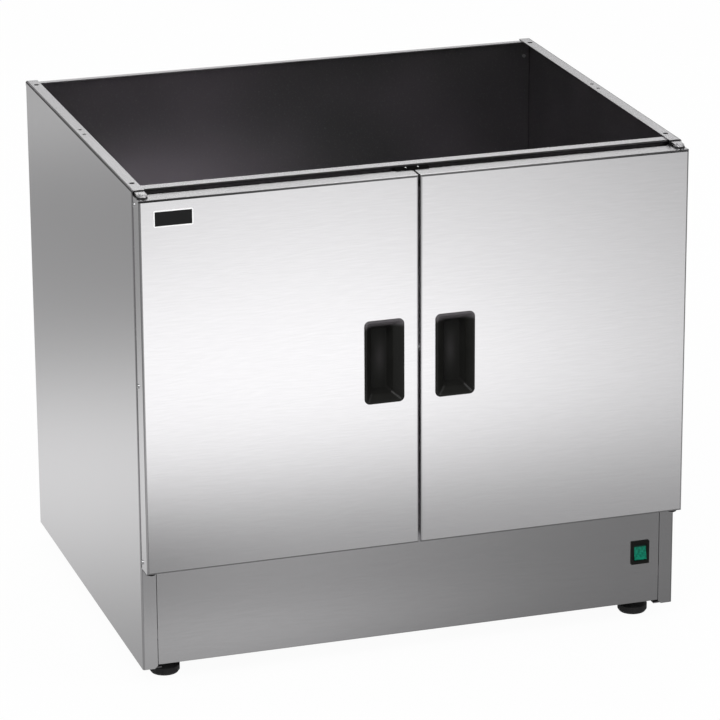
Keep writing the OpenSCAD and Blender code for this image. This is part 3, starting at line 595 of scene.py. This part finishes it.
def fixings_tree(name, recessed):
    """One fixing at each point, turned at random about its axis, with a cross recess or none."""
    t = Repeat(name, [("Fixing", "Object", None), ("Recess length", "Float", 3.2 * MM),
                      ("Recess width", "Float", 0.8 * MM), ("Recess depth", "Float", 1.6 * MM),
                      ("Recess place", "Vector", (0.0, 0.0, 0.0)),
                      ("Axis", "Vector", (1.0, 0.0, 0.0)), ("Seed", "Int", 3)])
    fixing = t.node("GeometryNodeObjectInfo", inputs={"Object": t.given("Fixing")}, out="Geometry")
    if recessed:
        length, width = t.given("Recess length"), t.given("Recess width")
        for across in ((length, width), (width, length)):
            size = t.node("ShaderNodeCombineXYZ", inputs={
                "X": t.given("Recess depth"), "Y": across[0], "Z": across[1]})
            bar = t.node("GeometryNodeMeshCube", inputs={"Size": size}, out="Mesh")
            bar = t.node("GeometryNodeTransform", inputs={
                "Geometry": bar, "Translation": t.given("Recess place")})
            fixing = t.node("GeometryNodeMeshBoolean",
                            {"operation": "DIFFERENCE", "solver": "EXACT"},
                            {"Mesh 1": fixing, "Mesh 2": bar}, "Mesh")
    turn = t.node("FunctionNodeRandomValue", {"data_type": "FLOAT"},
                  {"Min_001": 0.0, "Max_001": math.pi, "Seed": t.given("Seed")}, "Value_001")
    turned = t.node("ShaderNodeVectorMath", {"operation": "SCALE"},
                    {0: t.given("Axis"), "Scale": turn})
    return t.end(t.node("GeometryNodeInstanceOnPoints", inputs={
        "Points": t.given("Geometry"), "Instance": fixing, "Rotation": turned}, out="Instances"))


def thread_tree():
    """A thread wound round a stud that stands upright."""
    t = Repeat("stud thread", [("Radius", "Float", 4.5 * MM), ("Pitch", "Float", 1.5 * MM),
                               ("Length", "Float", 40 * MM), ("Ridge", "Float", 0.45 * MM),
                               ("Start", "Vector", (0.0, 0.0, 0.0))])
    helix = t.node("GeometryNodeCurveSpiral", inputs={
        "Resolution": 18, "Rotations": t.given("Length") / t.given("Pitch"),
        "Start Radius": t.given("Radius"), "End Radius": t.given("Radius"),
        "Height": t.given("Length")}, out="Curve")
    ridge = t.node("GeometryNodeCurvePrimitiveCircle", {"mode": "RADIUS"},
                   {"Resolution": 3, "Radius": t.given("Ridge")}, "Curve")
    wound = t.node("GeometryNodeCurveToMesh", inputs={"Curve": helix, "Profile Curve": ridge,
                                                      "Fill Caps": True}, out="Mesh")
    wound = t.node("GeometryNodeTransform", inputs={"Geometry": wound,
                                                    "Translation": t.given("Start")})
    return t.end(t.joined(t.given("Geometry"), wound))


def ribs_tree():
    """Grip ribs all round a cap whose axis lies along y."""
    t = Repeat("cap ribs", [("Count", "Int", 24), ("Centre", "Vector", (0.0, 0.0, 0.0))])
    points = t.node("GeometryNodeMeshLine", {"mode": "OFFSET", "count_mode": "TOTAL"},
                    {"Count": t.given("Count"), "Offset": (0.0, 0.0, 0.0)}, "Mesh")
    angle = t.node("GeometryNodeInputIndex") * (2 * math.pi) / t.given("Count")
    spin = t.node("ShaderNodeCombineXYZ", inputs={"Y": angle})
    ring = t.node("GeometryNodeInstanceOnPoints", inputs={
        "Points": points, "Instance": t.given("Geometry"), "Rotation": spin}, out="Instances")
    return t.end(t.node("GeometryNodeTransform", inputs={
        "Geometry": ring, "Translation": t.given("Centre")}))


# ------------------------------------------------------------------ settings

class WARMER_PG_steel(bpy.types.PropertyGroup):
    colour: bpy.props.FloatVectorProperty(
        name="Colour", description="Colour of the brushed sheet", subtype="COLOR", size=3,
        min=0.0, max=1.0, default=(0.86, 0.852, 0.866))
    haze: bpy.props.FloatVectorProperty(
        name="Haze", description="Colour of the haze on the inner faces", subtype="COLOR", size=3,
        min=0.0, max=1.0, default=(0.90, 0.82, 0.90))
    roughness: bpy.props.FloatProperty(
        name="Roughness", description="Roughness of the brushed sheet", default=0.21,
        min=0.05, max=1.0, subtype="FACTOR")
    grain: bpy.props.FloatProperty(
        name="Grain", description="Contrast of the fine grain", default=0.07,
        min=0.0, max=1.0, subtype="FACTOR")
    # inner_tone sets the painted shade: the share of the sheet's colour that the inner faces keep
    inner_tone: bpy.props.FloatProperty(
        name="Inner tone", description="Brightness of the inner faces beside the outer ones",
        default=0.27, min=0.0, max=1.0, subtype="FACTOR")
    # fold_shade sets the darkness of the painted shade along the folds
    fold_shade: bpy.props.FloatProperty(
        name="Fold shade", description="Darkness of the lines along the folds", default=0.86,
        min=0.0, max=1.0, subtype="FACTOR")


class WARMER_PG_pulls(bpy.types.PropertyGroup):
    colour: bpy.props.FloatVectorProperty(
        name="Colour", description="Colour of the moulded pulls", subtype="COLOR", size=3,
        min=0.0, max=1.0, default=(0.009, 0.009, 0.008))
    rim: bpy.props.FloatProperty(
        name="Rim", description="Width of the flat rim", default=2.6 * MM, unit="LENGTH",
        min=1 * MM, max=6 * MM)
    bevel_depth: bpy.props.FloatProperty(
        name="Bevel depth", description="Depth at which the bevels meet the well",
        default=8 * MM, unit="LENGTH", min=3 * MM, max=12 * MM)
    well_width: bpy.props.FloatProperty(
        name="Well width", description="Width of the finger well at its mouth",
        default=29 * MM, unit="LENGTH", min=22 * MM, max=36 * MM)
    well_depth: bpy.props.FloatProperty(
        name="Well depth", description="Depth of the finger well behind the door's face",
        default=19 * MM, unit="LENGTH", min=10 * MM, max=19 * MM)
    shift: bpy.props.FloatProperty(
        name="Shift", description="Distance of the well from the middle towards the hinge",
        default=1.5 * MM, unit="LENGTH", min=0.0, max=4 * MM)


class WARMER_PG_fixings(bpy.types.PropertyGroup):
    screw_recess: bpy.props.FloatProperty(
        name="Screw recess", description="Length of the cross recess in a door screw",
        default=3.2 * MM, unit="LENGTH", min=1 * MM, max=5 * MM)
    thread_pitch: bpy.props.FloatProperty(
        name="Thread pitch", description="Pitch of the foot studs' thread",
        default=1.5 * MM, unit="LENGTH", min=0.8 * MM, max=2.5 * MM)
    cap_ribs: bpy.props.IntProperty(
        name="Cap ribs", description="Number of grip ribs on the cable gland's cap",
        default=24, min=8, max=48)


class WARMER_PG_studio(bpy.types.PropertyGroup):
    lens: bpy.props.FloatProperty(
        name="Lens", description="Focal length of the camera", default=198.995, unit="CAMERA")
    azimuth: bpy.props.FloatProperty(
        name="Azimuth", description="Turn of the view to the right of the cabinet's depth",
        default=math.radians(17.806), subtype="ANGLE")
    drop: bpy.props.FloatProperty(
        name="Drop", description="Tilt of the view below the horizon",
        default=math.radians(18.716), subtype="ANGLE")
    roll: bpy.props.FloatProperty(
        name="Roll", description="Roll of the view", default=math.radians(-0.302), subtype="ANGLE")
    place: bpy.props.FloatVectorProperty(
        name="Place", description="Place of the camera", subtype="TRANSLATION", size=3,
        default=(-1.5174, -4.7808, 2.0093))
    floor_colour: bpy.props.FloatVectorProperty(
        name="Floor colour", description="Colour of the studio floor", subtype="COLOR", size=3,
        min=0.0, max=1.0, default=(0.90, 0.90, 0.90))
    lamp_level: bpy.props.FloatProperty(
        name="Lamp level", description="Share of the lamps' plain level", default=1.0,
        min=0.0, max=2.0)


# ------------------------------------------------------------------ operators

class WARMER_OT_sheet_steel(bpy.types.Operator):
    """Gives the folded panels and doors their brushed steel"""
    bl_idname = "warmer.sheet_steel"
    bl_label = "Finish sheet steel"

    def execute(self, context):
        dress(sheet_steel("side panel steel", "y", side_inside, side_folds, side_painted_shade),
              "left_side_panel", "right_side_panel")
        dress(sheet_steel("back panel steel", "x", back_inside, glow=back_glow), "back_panel")
        dress(sheet_steel("door steel", "x", folds=door_folds), "left_door_skin",
              "right_door_skin")
        dress(sheet_steel("plinth steel", "x", painted_dimming=plinth_painted_shade), "plinth_panel")
        dress(sheet_steel("rail steel", "x", rail_inside, rail_folds, deep=0.22), "front_top_rail")
        dress(sheet_steel("inner steel", "x", everywhere), "cabinet_floor", "bottom_pan",
              "left_shelf_support", "right_shelf_support")
        dress(sheet_steel("liner steel", "z"), "left_door_liner", "right_door_liner")
        return {"FINISHED"}


class WARMER_OT_small_parts(bpy.types.Operator):
    """Gives the small metal, plastic and ceramic parts their finishes"""
    bl_idname = "warmer.small_parts"
    bl_label = "Finish small parts"

    def execute(self, context):
        dress(plain_metal("drawn wire", (0.72, 0.72, 0.73), 0.22), "wire_shelf")
        dress(plain_metal("bright steel", (0.70, 0.70, 0.71), 0.26), "hinge_pins", "hinge_screws",
              "catch_poles", "left_strike", "right_strike", "earth_stud")
        dress(plain_metal("plated steel", (0.58, 0.58, 0.57), 0.38, 0.08), "element_combs")
        # Near-black: on the foot plates this is painted shade under the plinth's lip
        dress(plain_metal("blackened steel", (0.030, 0.030, 0.030), 0.45, 0.20), "foot_plates",
              "lower_hinge_plates")
        dress(hinge_plate_finish(), "upper_hinge_plates")
        dress(plain_metal("brass", (0.68, 0.50, 0.22), 0.32, 0.06), "switch_terminals")
        dress(moulded("black plastic", (0.007, 0.007, 0.006), 0.42, gloss=0.15), "switch_body")
        dress(moulded("catch plastic", (0.006, 0.006, 0.006), 0.80, gloss=0.0), "magnetic_catch")
        dress(moulded("dark nylon", (0.016, 0.016, 0.017), 0.40), "limit_thermostat",
              "cable_gland", "gland_nut", "left_bushes", "right_bushes")
        dress(moulded("ceramic", (0.66, 0.63, 0.56), 0.35, 500.0, mottle=0.06),
              "element_terminals", "terminal_block")
        dress(element_tube(), "heating_element")
        dress(rubbed_rubber(), *(f"{end}_{side}_pad" for end in ("front", "rear")
                                 for side in ("left", "right")))
        dress(lens_green(), "switch_rocker")
        dress(plate_finish(), "badge_plate")
        return {"FINISHED"}


class WARMER_OT_door_pulls(bpy.types.Operator):
    """Makes the two moulded door pulls with their finger wells"""
    bl_idname = "warmer.door_pulls"
    bl_label = "Make door pulls"

    def execute(self, context):
        pulls = context.scene.warmer_pulls
        wall, lead = 2 * MM, 1.25 * MM
        # Corner radii of the rim, of the well's inside and of its outside
        corner, inner, outer = 7 * MM, 3.5 * MM, 5 * MM
        # What the well is shorter than the pull, and narrower at its floor than at its mouth
        ends, taper = 22 * MM, 8 * MM
        material = moulded("pull plastic", tuple(pulls.colour), 0.36, 1500.0, 0.00004, gloss=0.22,
                           lit=pull_painted_highlight, dull=pull_well)
        for side, name in ((-1, "left"), (1, "right")):
            low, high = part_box(f"{name}_handle")
            width, height = high.x - low.x, high.z - low.z
            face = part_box(f"{name}_door_skin")[0].y
            proud, back = face - low.y, high.y - face
            centre = Vector(((low.x + high.x) / 2, face, (low.z + high.z) / 2))
            well_w, well_h = pulls.well_width, height - ends
            floor_w, floor_h = well_w - taper, well_h - taper
            shift, deep = pulls.shift, pulls.well_depth
            skirt = (width - 2 * (wall + lead), height - 2 * (wall + lead), corner - inner)
            stations = [
                (floor_w + 2 * wall, floor_h + 2 * wall, outer, shift, back),
                (well_w + 2 * wall + 2 * MM, well_h + 2 * wall + 2 * MM, outer, shift,
                 pulls.bevel_depth + 1 * MM),
                (*skirt, 0, 2 * MM),
                (*skirt, 0, 0),
                (width, height, corner, 0, 0),
                (width, height, corner, 0, -proud * 0.5),
                (width - 3 * MM, height - 3 * MM, corner - 1.5 * MM, 0, -proud),
                (width - 2 * pulls.rim, height - 2 * pulls.rim, corner - pulls.rim, 0, -proud),
                (well_w, well_h, inner, shift, pulls.bevel_depth),
                (floor_w, floor_h, inner, shift, deep),
                (floor_w * 0.4, floor_h - floor_w * 0.6, 1.5 * MM, shift, deep),
            ]
            piece = put_mesh(f"{name}_door_pull",
                             lambda bm: loft(bm, softened(stations, 1.4 * MM), centre, side),
                             material, f"{name}_door", 40.0)
            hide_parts(f"{name}_handle")
        return {"FINISHED"}


class WARMER_OT_door_screws(bpy.types.Operator):
    """Makes the cross-recessed screws along the doors' outer edges"""
    bl_idname = "warmer.door_screws"
    bl_label = "Make door screws"

    def execute(self, context):
        fixings = context.scene.warmer_fixings
        material = plain_metal("screw steel", (0.66, 0.66, 0.67), 0.24)
        tree = fixings_tree("door screws", True)
        for side, name in ((-1, "left"), (1, "right")):
            low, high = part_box(f"{name}_door_screws")
            radius = (high.y - low.y) / 2
            head, shank = 1.5 * MM, 1.7 * MM
            tip = low.x if side < 0 else high.x
            root = high.x if side < 0 else low.x
            y = (low.y + high.y) / 2
            ends = (low.z + radius, high.z - radius)
            places = [(tip, y, z) for z in (ends[0], sum(ends) / 2, ends[1])]
            length = abs(tip - root)

            def screw(bm):
                dome = [(radius * math.sin(a), head * 0.55 * (1 - math.cos(a)))
                        for a in (math.pi / 2 * i / 6 for i in range(7))]
                profile = dome + [(radius, head), (shank, head), (shank, length)]
                lathe(bm, profile, (0, 0, 0), (-side, 0, 0))

            source = holder_of("screw to copy", mesh_of("screw to copy", screw))
            mesh = grown(f"{name}_edge_screws", points_mesh("screw places", places), tree, {
                "Fixing": source, "Recess length": fixings.screw_recess,
                "Recess depth": 1.8 * MM, "Finish": material})
            bpy.data.objects.remove(source)
            piece = put(f"{name}_edge_screws", mesh, f"{name}_door", 30.0)
            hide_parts(f"{name}_door_screws")
        return {"FINISHED"}


class WARMER_OT_top_screws(bpy.types.Operator):
    """Makes the small screws that hold the catch and the upper hinge plates"""
    bl_idname = "warmer.top_screws"
    bl_label = "Make top screws"

    def execute(self, context):
        radius, head, sunk = 1.4 * MM, 0.9 * MM, 0.4 * MM
        low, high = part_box("magnetic_catch")
        places = [(side * 8 * MM, (low.y + high.y) / 2, high.z) for side in (-1, 1)]
        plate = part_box("upper_hinge_plates")[1]
        places += [(side * (plate.x - inset), plate.y - 2.2 * MM, plate.z)
                   for side in (-1, 1) for inset in (4 * MM, 10 * MM)]

        def screw(bm):
            dome = [(radius * math.cos(a), head * math.sin(a))
                    for a in (math.pi / 2 * i / 5 for i in range(5))]
            lathe(bm, [(radius, -sunk), *dome, (0.0, head)], (0, 0, 0), (0, 0, 1), 20)

        source = holder_of("screw to copy", mesh_of("screw to copy", screw))
        mesh = grown("top_screws", points_mesh("top screw places", places),
                     fixings_tree("top screws", True),
                     {"Fixing": source, "Axis": (0.0, 0.0, 1.0), "Recess length": 0.5 * MM,
                      "Recess width": 0.6 * MM, "Recess depth": 2.4 * MM,
                      "Recess place": (0.0, 0.0, head), "Seed": 8,
                      "Finish": plain_metal("top screw steel", (0.78, 0.78, 0.79), 0.20)})
        bpy.data.objects.remove(source)
        put("top_screws", mesh, "cabinet", 30.0)
        return {"FINISHED"}


class WARMER_OT_back_rivets(bpy.types.Operator):
    """Makes the domed rivets down both sides of the back"""
    bl_idname = "warmer.back_rivets"
    bl_label = "Make back rivets"

    def execute(self, context):
        low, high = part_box("back_rivets")
        head, dome_h, shank, tail = 3.19 * MM, 1.0 * MM, 1.6 * MM, 2.4 * MM
        floor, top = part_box("cabinet_floor")[1].z, DOOR_HIGH.z
        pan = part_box("bottom_pan")[0].z
        edge = top - (high.z - head)
        heights = [low.z + head, (pan + floor) / 2, floor + edge, (floor + top) / 2, top - edge]
        x = high.x - head
        places = [(side * x, high.y, z) for side in (-1, 1) for z in heights]
        depth = high.y - low.y

        def rivet(bm):
            dome = [(head * math.sin(a), dome_h * (1 - math.cos(a)))
                    for a in (math.pi / 2 * i / 6 for i in range(7))]
            profile = dome + [(shank, dome_h), (shank, depth - 1.2 * MM),
                              (tail, depth - 1.2 * MM), (tail, depth)]
            lathe(bm, profile, (0, 0, 0), (0, -1, 0), 20)

        source = holder_of("rivet to copy", mesh_of("rivet to copy", rivet))
        mesh = grown("domed_rivets", points_mesh("rivet places", places),
                     fixings_tree("back rivets", False),
                     {"Fixing": source, "Axis": (0.0, 1.0, 0.0), "Seed": 5,
                      "Finish": plain_metal("rivet steel", (0.66, 0.66, 0.67), 0.30)})
        bpy.data.objects.remove(source)
        piece = put("domed_rivets", mesh, "cabinet")
        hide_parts("back_rivets")
        return {"FINISHED"}


class WARMER_OT_foot_studs(bpy.types.Operator):
    """Makes the threaded studs of the four levelling feet"""
    bl_idname = "warmer.foot_studs"
    bl_label = "Make foot studs"

    def execute(self, context):
        pitch = context.scene.warmer_fixings.thread_pitch
        material = plain_metal("zinc steel", (0.62, 0.62, 0.60), 0.34, 0.08)
        tree = thread_tree()
        for name in (f"{end}_{side}" for end in ("front", "rear") for side in ("left", "right")):
            low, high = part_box(f"{name}_stud")
            x, y = (low.x + high.x) / 2, (low.y + high.y) / 2
            hex_r = (high.x - low.x) / 2
            collar = (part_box(f"{name}_pad")[1].z, BODY_LOW.z + 1.2 * MM)
            core, crest, ease = 4.4 * MM, 5.0 * MM, 0.5 * MM

            def stud(bm):
                lathe(bm, [(core, low.z), (core, high.z - 1 * MM), (core - 1 * MM, high.z)],
                      (x, y, 0), (0, 0, 1), 24)
                lathe(bm, [(hex_r - ease, collar[0]), (hex_r, collar[0] + ease),
                           (hex_r, collar[1] - ease), (hex_r - ease, collar[1])],
                      (x, y, 0), (0, 0, 1), 6)

            mesh = grown(f"{name}_threaded_stud", mesh_of("stud core", stud), tree, {
                "Radius": crest - 0.5 * MM, "Pitch": pitch, "Length": high.z - low.z - 3 * MM,
                "Start": (x, y, low.z + 1 * MM), "Finish": material})
            piece = put(f"{name}_threaded_stud", mesh, f"{name}_foot", 30.0)
            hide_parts(f"{name}_stud")
        return {"FINISHED"}


class WARMER_OT_gland_ribs(bpy.types.Operator):
    """Makes the grip ribs round the cable gland's cap"""
    bl_idname = "warmer.gland_ribs"
    bl_label = "Make gland ribs"

    def execute(self, context):
        low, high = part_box("cable_gland")
        cap_r, cap_start, cap_end = 11.3 * MM, high.y - 17 * MM, high.y - 5.6 * MM
        centre = ((low.x + high.x) / 2, 0.0, (low.z + high.z) / 2)

        def rib(bm):
            made = bmesh.ops.create_cube(bm, size=1.0)
            bmesh.ops.scale(bm, vec=(1.1 * MM, cap_end - cap_start, 1.1 * MM), verts=made["verts"])
            bmesh.ops.rotate(bm, matrix=Matrix.Rotation(math.radians(45), 3, "Y"),
                             verts=made["verts"])
            bmesh.ops.translate(bm, vec=(cap_r, (cap_start + cap_end) / 2, 0), verts=made["verts"])

        mesh = grown("gland_cap_ribs", mesh_of("rib to copy", rib), ribs_tree(), {
            "Count": context.scene.warmer_fixings.cap_ribs, "Centre": centre,
            "Finish": moulded("gland plastic", (0.016, 0.016, 0.017), 0.42)})
        put("gland_cap_ribs", mesh, "cabinet")
        return {"FINISHED"}


# Pools of light that metal mirrors in the floor: middle x and y, reach along x and y, amount
POOLS = [(0.05, -1.50, 0.55, 0.38, 0.34), (-0.52, 0.52, 0.60, 0.55, 0.44),
         (1.05, 0.08, 0.40, 0.45, 0.50), (0.45, 1.60, 0.70, 0.50, 0.50),
         (-1.02, -0.62, 0.28, 0.42, 0.50), (-0.95, 2.55, 0.50, 0.42, 0.22),
         (-0.33, -0.84, 0.20, 0.28, -0.16), (-0.12, -0.42, 0.30, 0.09, 0.08)]
FLOOR_GLOOM = 0.28
BRIGHTEST = 1.25
# In front, the mirrored floor is dim beside the plinth and bright further out
NEAR, NEAR_END, GLOOM_START = 0.34, -0.50, -0.15
SWEEP, SWEEP_START, SWEEP_FULL = 0.82, -0.70, -1.34
# Between these two distances the bright sweep leans right, narrows and weakens
LEAN_START, LEAN_FULL, LEAN, LEAN_WIDTH, LEAN_SHARE = -1.3, -2.5, 0.50, 0.77, 0.74
# Further out it fades to this share
FADE_START, FADE_FULL, FADE_SHARE = -2.2, -4.5, 0.2
# What the shadow under the cabinet keeps from the body's front, back and sides, and its darkness
SHADOW_INSET, SHADOW_SIDE, SHADOW_SOFT, SHADOW = 65 * MM, 21 * MM, 3 * MM, 0.97
# Share of the floor that glows for the camera; the rest is lit, and takes shadows
GLOW_SHARE = 0.96
# Sky: light for matt faces, and mirrored light overhead
AMBIENT, OVERHEAD = 0.55, 0.24
# Softboxes: name, place, size and power
LAMPS = (("key softbox", (-2.0, -2.6, 3.2), 2.6, 78.0),
         ("fill softbox", (2.8, -2.2, 2.6), 2.2, 34.0),
         ("back softbox", (0.6, 2.6, 3.2), 2.4, 40.0))
AIM = Vector((0, 0, 0.35))


class WARMER_OT_studio(bpy.types.Operator):
    """Makes the floor, the soft light and the camera"""
    bl_idname = "warmer.studio"
    bl_label = "Make studio"

    def execute(self, context):
        studio = context.scene.warmer_studio
        self.floor(studio)
        self.sky()
        for name, place, size, power in LAMPS:
            lamp = bpy.data.lights.new(name, "AREA")
            lamp.shape, lamp.size = "SQUARE", size
            lamp.energy = power * studio.lamp_level
            holder = bpy.data.objects.new(name, lamp)
            holder.location = place
            way = AIM - Vector(place)
            holder.rotation_euler = way.to_track_quat("-Z", "Y").to_euler()
            context.scene.collection.objects.link(holder)
        self.camera(context, studio)
        context.scene.view_settings.view_transform = "Standard"
        return {"FINISHED"}

    def floor(self, studio):
        def plane(bm):
            bmesh.ops.create_grid(bm, x_segments=2, y_segments=2, size=9.0)

        floor = bpy.data.objects.new("studio_floor", mesh_of("studio_floor", plane))
        bpy.context.scene.collection.objects.link(floor)
        f = Finish("studio floor")
        camera, glossy, through = f.node("ShaderNodeLightPath", out=(
            "Is Camera Ray", "Is Glossy Ray", "Is Transmission Ray"))
        grade = f.step(f.y, NEAR_END, GLOOM_START, NEAR, FLOOR_GLOOM)
        middle = f.step(f.y, LEAN_FULL, LEAN_START, LEAN, 0.0)
        width = f.step(f.y, LEAN_FULL, LEAN_START, LEAN_WIDTH, 1.0)
        share = f.step(f.y, LEAN_FULL, LEAN_START, LEAN_SHARE, 1.0)
        sweep = f.step(f.y, SWEEP_FULL, SWEEP_START, SWEEP, 0.0) * share
        sweep = sweep * ((f.x - middle) / width).bell()
        grade = grade + sweep * f.step(f.y, FADE_FULL, FADE_START, FADE_SHARE, 1.0)
        for px, py, rx, ry, amount in POOLS:
            grade = grade + ((f.x - px) / rx).bell() * ((f.y - py) / ry).bell() * amount
        wide = f.step(abs(f.x), BODY_HIGH.x - SHADOW_SIDE - SHADOW_SOFT,
                      BODY_HIGH.x - SHADOW_SIDE, 1.0, 0.0)
        front = f.step(f.y, BODY_LOW.y + SHADOW_INSET, BODY_LOW.y + SHADOW_INSET + SHADOW_SOFT)
        rear = f.step(f.y, BODY_HIGH.y - SHADOW_INSET, BODY_HIGH.y, 1.0, 0.0)
        under = wide * front * rear
        seen = camera + glossy + through
        strength = (camera + (1 - camera) * grade.least(BRIGHTEST)) * (1 - under * SHADOW)
        glow = f.node("ShaderNodeEmission", inputs={"Color": (1.0, 1.0, 1.0),
                                                    "Strength": strength})
        paint = f.node("ShaderNodeBsdfDiffuse", inputs={"Color": tuple(studio.floor_colour)})
        share = seen.least(1.0) * (GLOW_SHARE + (1 - camera) * (1 - GLOW_SHARE))
        both = f.node("ShaderNodeMixShader", inputs={"Fac": share, 1: paint, 2: glow})
        f.node("ShaderNodeOutputMaterial", inputs={"Surface": both})
        floor.data.materials.append(f.material)

    def sky(self):
        world = bpy.data.worlds.new("studio")
        bpy.context.scene.world = world
        world.use_nodes = True
        t = Tree(world.node_tree)
        t.tree.nodes.clear()
        way = t.node("ShaderNodeTexCoord", out="Generated")
        depth, height = t.node("ShaderNodeSeparateXYZ", inputs={0: way}, out=("Y", "Z"))
        camera, glossy, through = t.node("ShaderNodeLightPath", out=(
            "Is Camera Ray", "Is Glossy Ray", "Is Transmission Ray"))
        above = t.step(height, 0.40, 0.85)
        band = t.step(height, 0.02, 0.20, 0.12, 0.45) * t.step(depth, -0.3, 0.4, 0.35, 1.0)
        sky = band * (1 - above) + above * OVERHEAD
        mirror = (glossy + through).least(1.0)
        level = AMBIENT + mirror * (sky - AMBIENT)
        level = level + camera * (1 - level)
        back = t.node("ShaderNodeBackground", inputs={"Color": (1.0, 1.0, 1.0),
                                                      "Strength": level})
        t.node("ShaderNodeOutputWorld", inputs={"Surface": back})

    def camera(self, context, studio):
        turn, drop = studio.azimuth, -studio.drop
        ahead = Vector((math.sin(turn) * math.cos(drop), math.cos(turn) * math.cos(drop),
                        math.sin(drop)))
        level = Vector((math.cos(turn), -math.sin(turn), 0))
        up = level.cross(ahead)
        lean = math.asin(math.sin(studio.roll) / math.cos(drop))
        right = level * math.cos(lean) + up * math.sin(lean)
        up = right.cross(ahead)
        data = bpy.data.cameras.new("photo camera")
        data.lens, data.sensor_width = studio.lens, 36.0
        data.clip_end = 60.0
        camera = bpy.data.objects.new("photo camera", data)
        basis = Matrix((right, up, -ahead)).transposed().to_4x4()
        camera.matrix_world = Matrix.Translation(Vector(studio.place)) @ basis
        context.scene.collection.objects.link(camera)
        context.scene.camera = camera


class WARMER_PT_panel(bpy.types.Panel):
    """Lists the operators that make the cabinet, and its settings"""
    bl_idname = "WARMER_PT_panel"
    bl_label = "Plate warmer"
    bl_space_type = "VIEW_3D"
    bl_region_type = "UI"
    bl_category = "Plate warmer"

    def draw(self, context):
        for operator in OPERATORS:
            self.layout.operator(operator.bl_idname)
        for name, group in GROUPS.items():
            box = self.layout.box()
            for label in group.__annotations__:
                box.prop(getattr(context.scene, name), label)


GROUPS = {"warmer_steel": WARMER_PG_steel, "warmer_pulls": WARMER_PG_pulls,
          "warmer_fixings": WARMER_PG_fixings, "warmer_studio": WARMER_PG_studio}
OPERATORS = (WARMER_OT_studio, WARMER_OT_sheet_steel, WARMER_OT_small_parts, WARMER_OT_door_pulls,
             WARMER_OT_door_screws, WARMER_OT_top_screws, WARMER_OT_back_rivets,
             WARMER_OT_foot_studs, WARMER_OT_gland_ribs)


def register():
    for name, group in GROUPS.items():
        bpy.utils.register_class(group)
        setattr(bpy.types.Scene, name, bpy.props.PointerProperty(type=group))
    for kind in (*OPERATORS, WARMER_PT_panel):
        bpy.utils.register_class(kind)


def unregister():
    for kind in (WARMER_PT_panel, *reversed(OPERATORS)):
        bpy.utils.unregister_class(kind)
    for name, group in GROUPS.items():
        delattr(bpy.types.Scene, name)
        bpy.utils.unregister_class(group)


def main():
    register()
    bpy.ops.warmer.studio()
    bpy.ops.warmer.sheet_steel()
    bpy.ops.warmer.small_parts()
    bpy.ops.warmer.door_pulls()
    bpy.ops.warmer.door_screws()
    bpy.ops.warmer.top_screws()
    bpy.ops.warmer.back_rivets()
    bpy.ops.warmer.foot_studs()
    bpy.ops.warmer.gland_ribs()


if __name__ == "__main__":
    main()
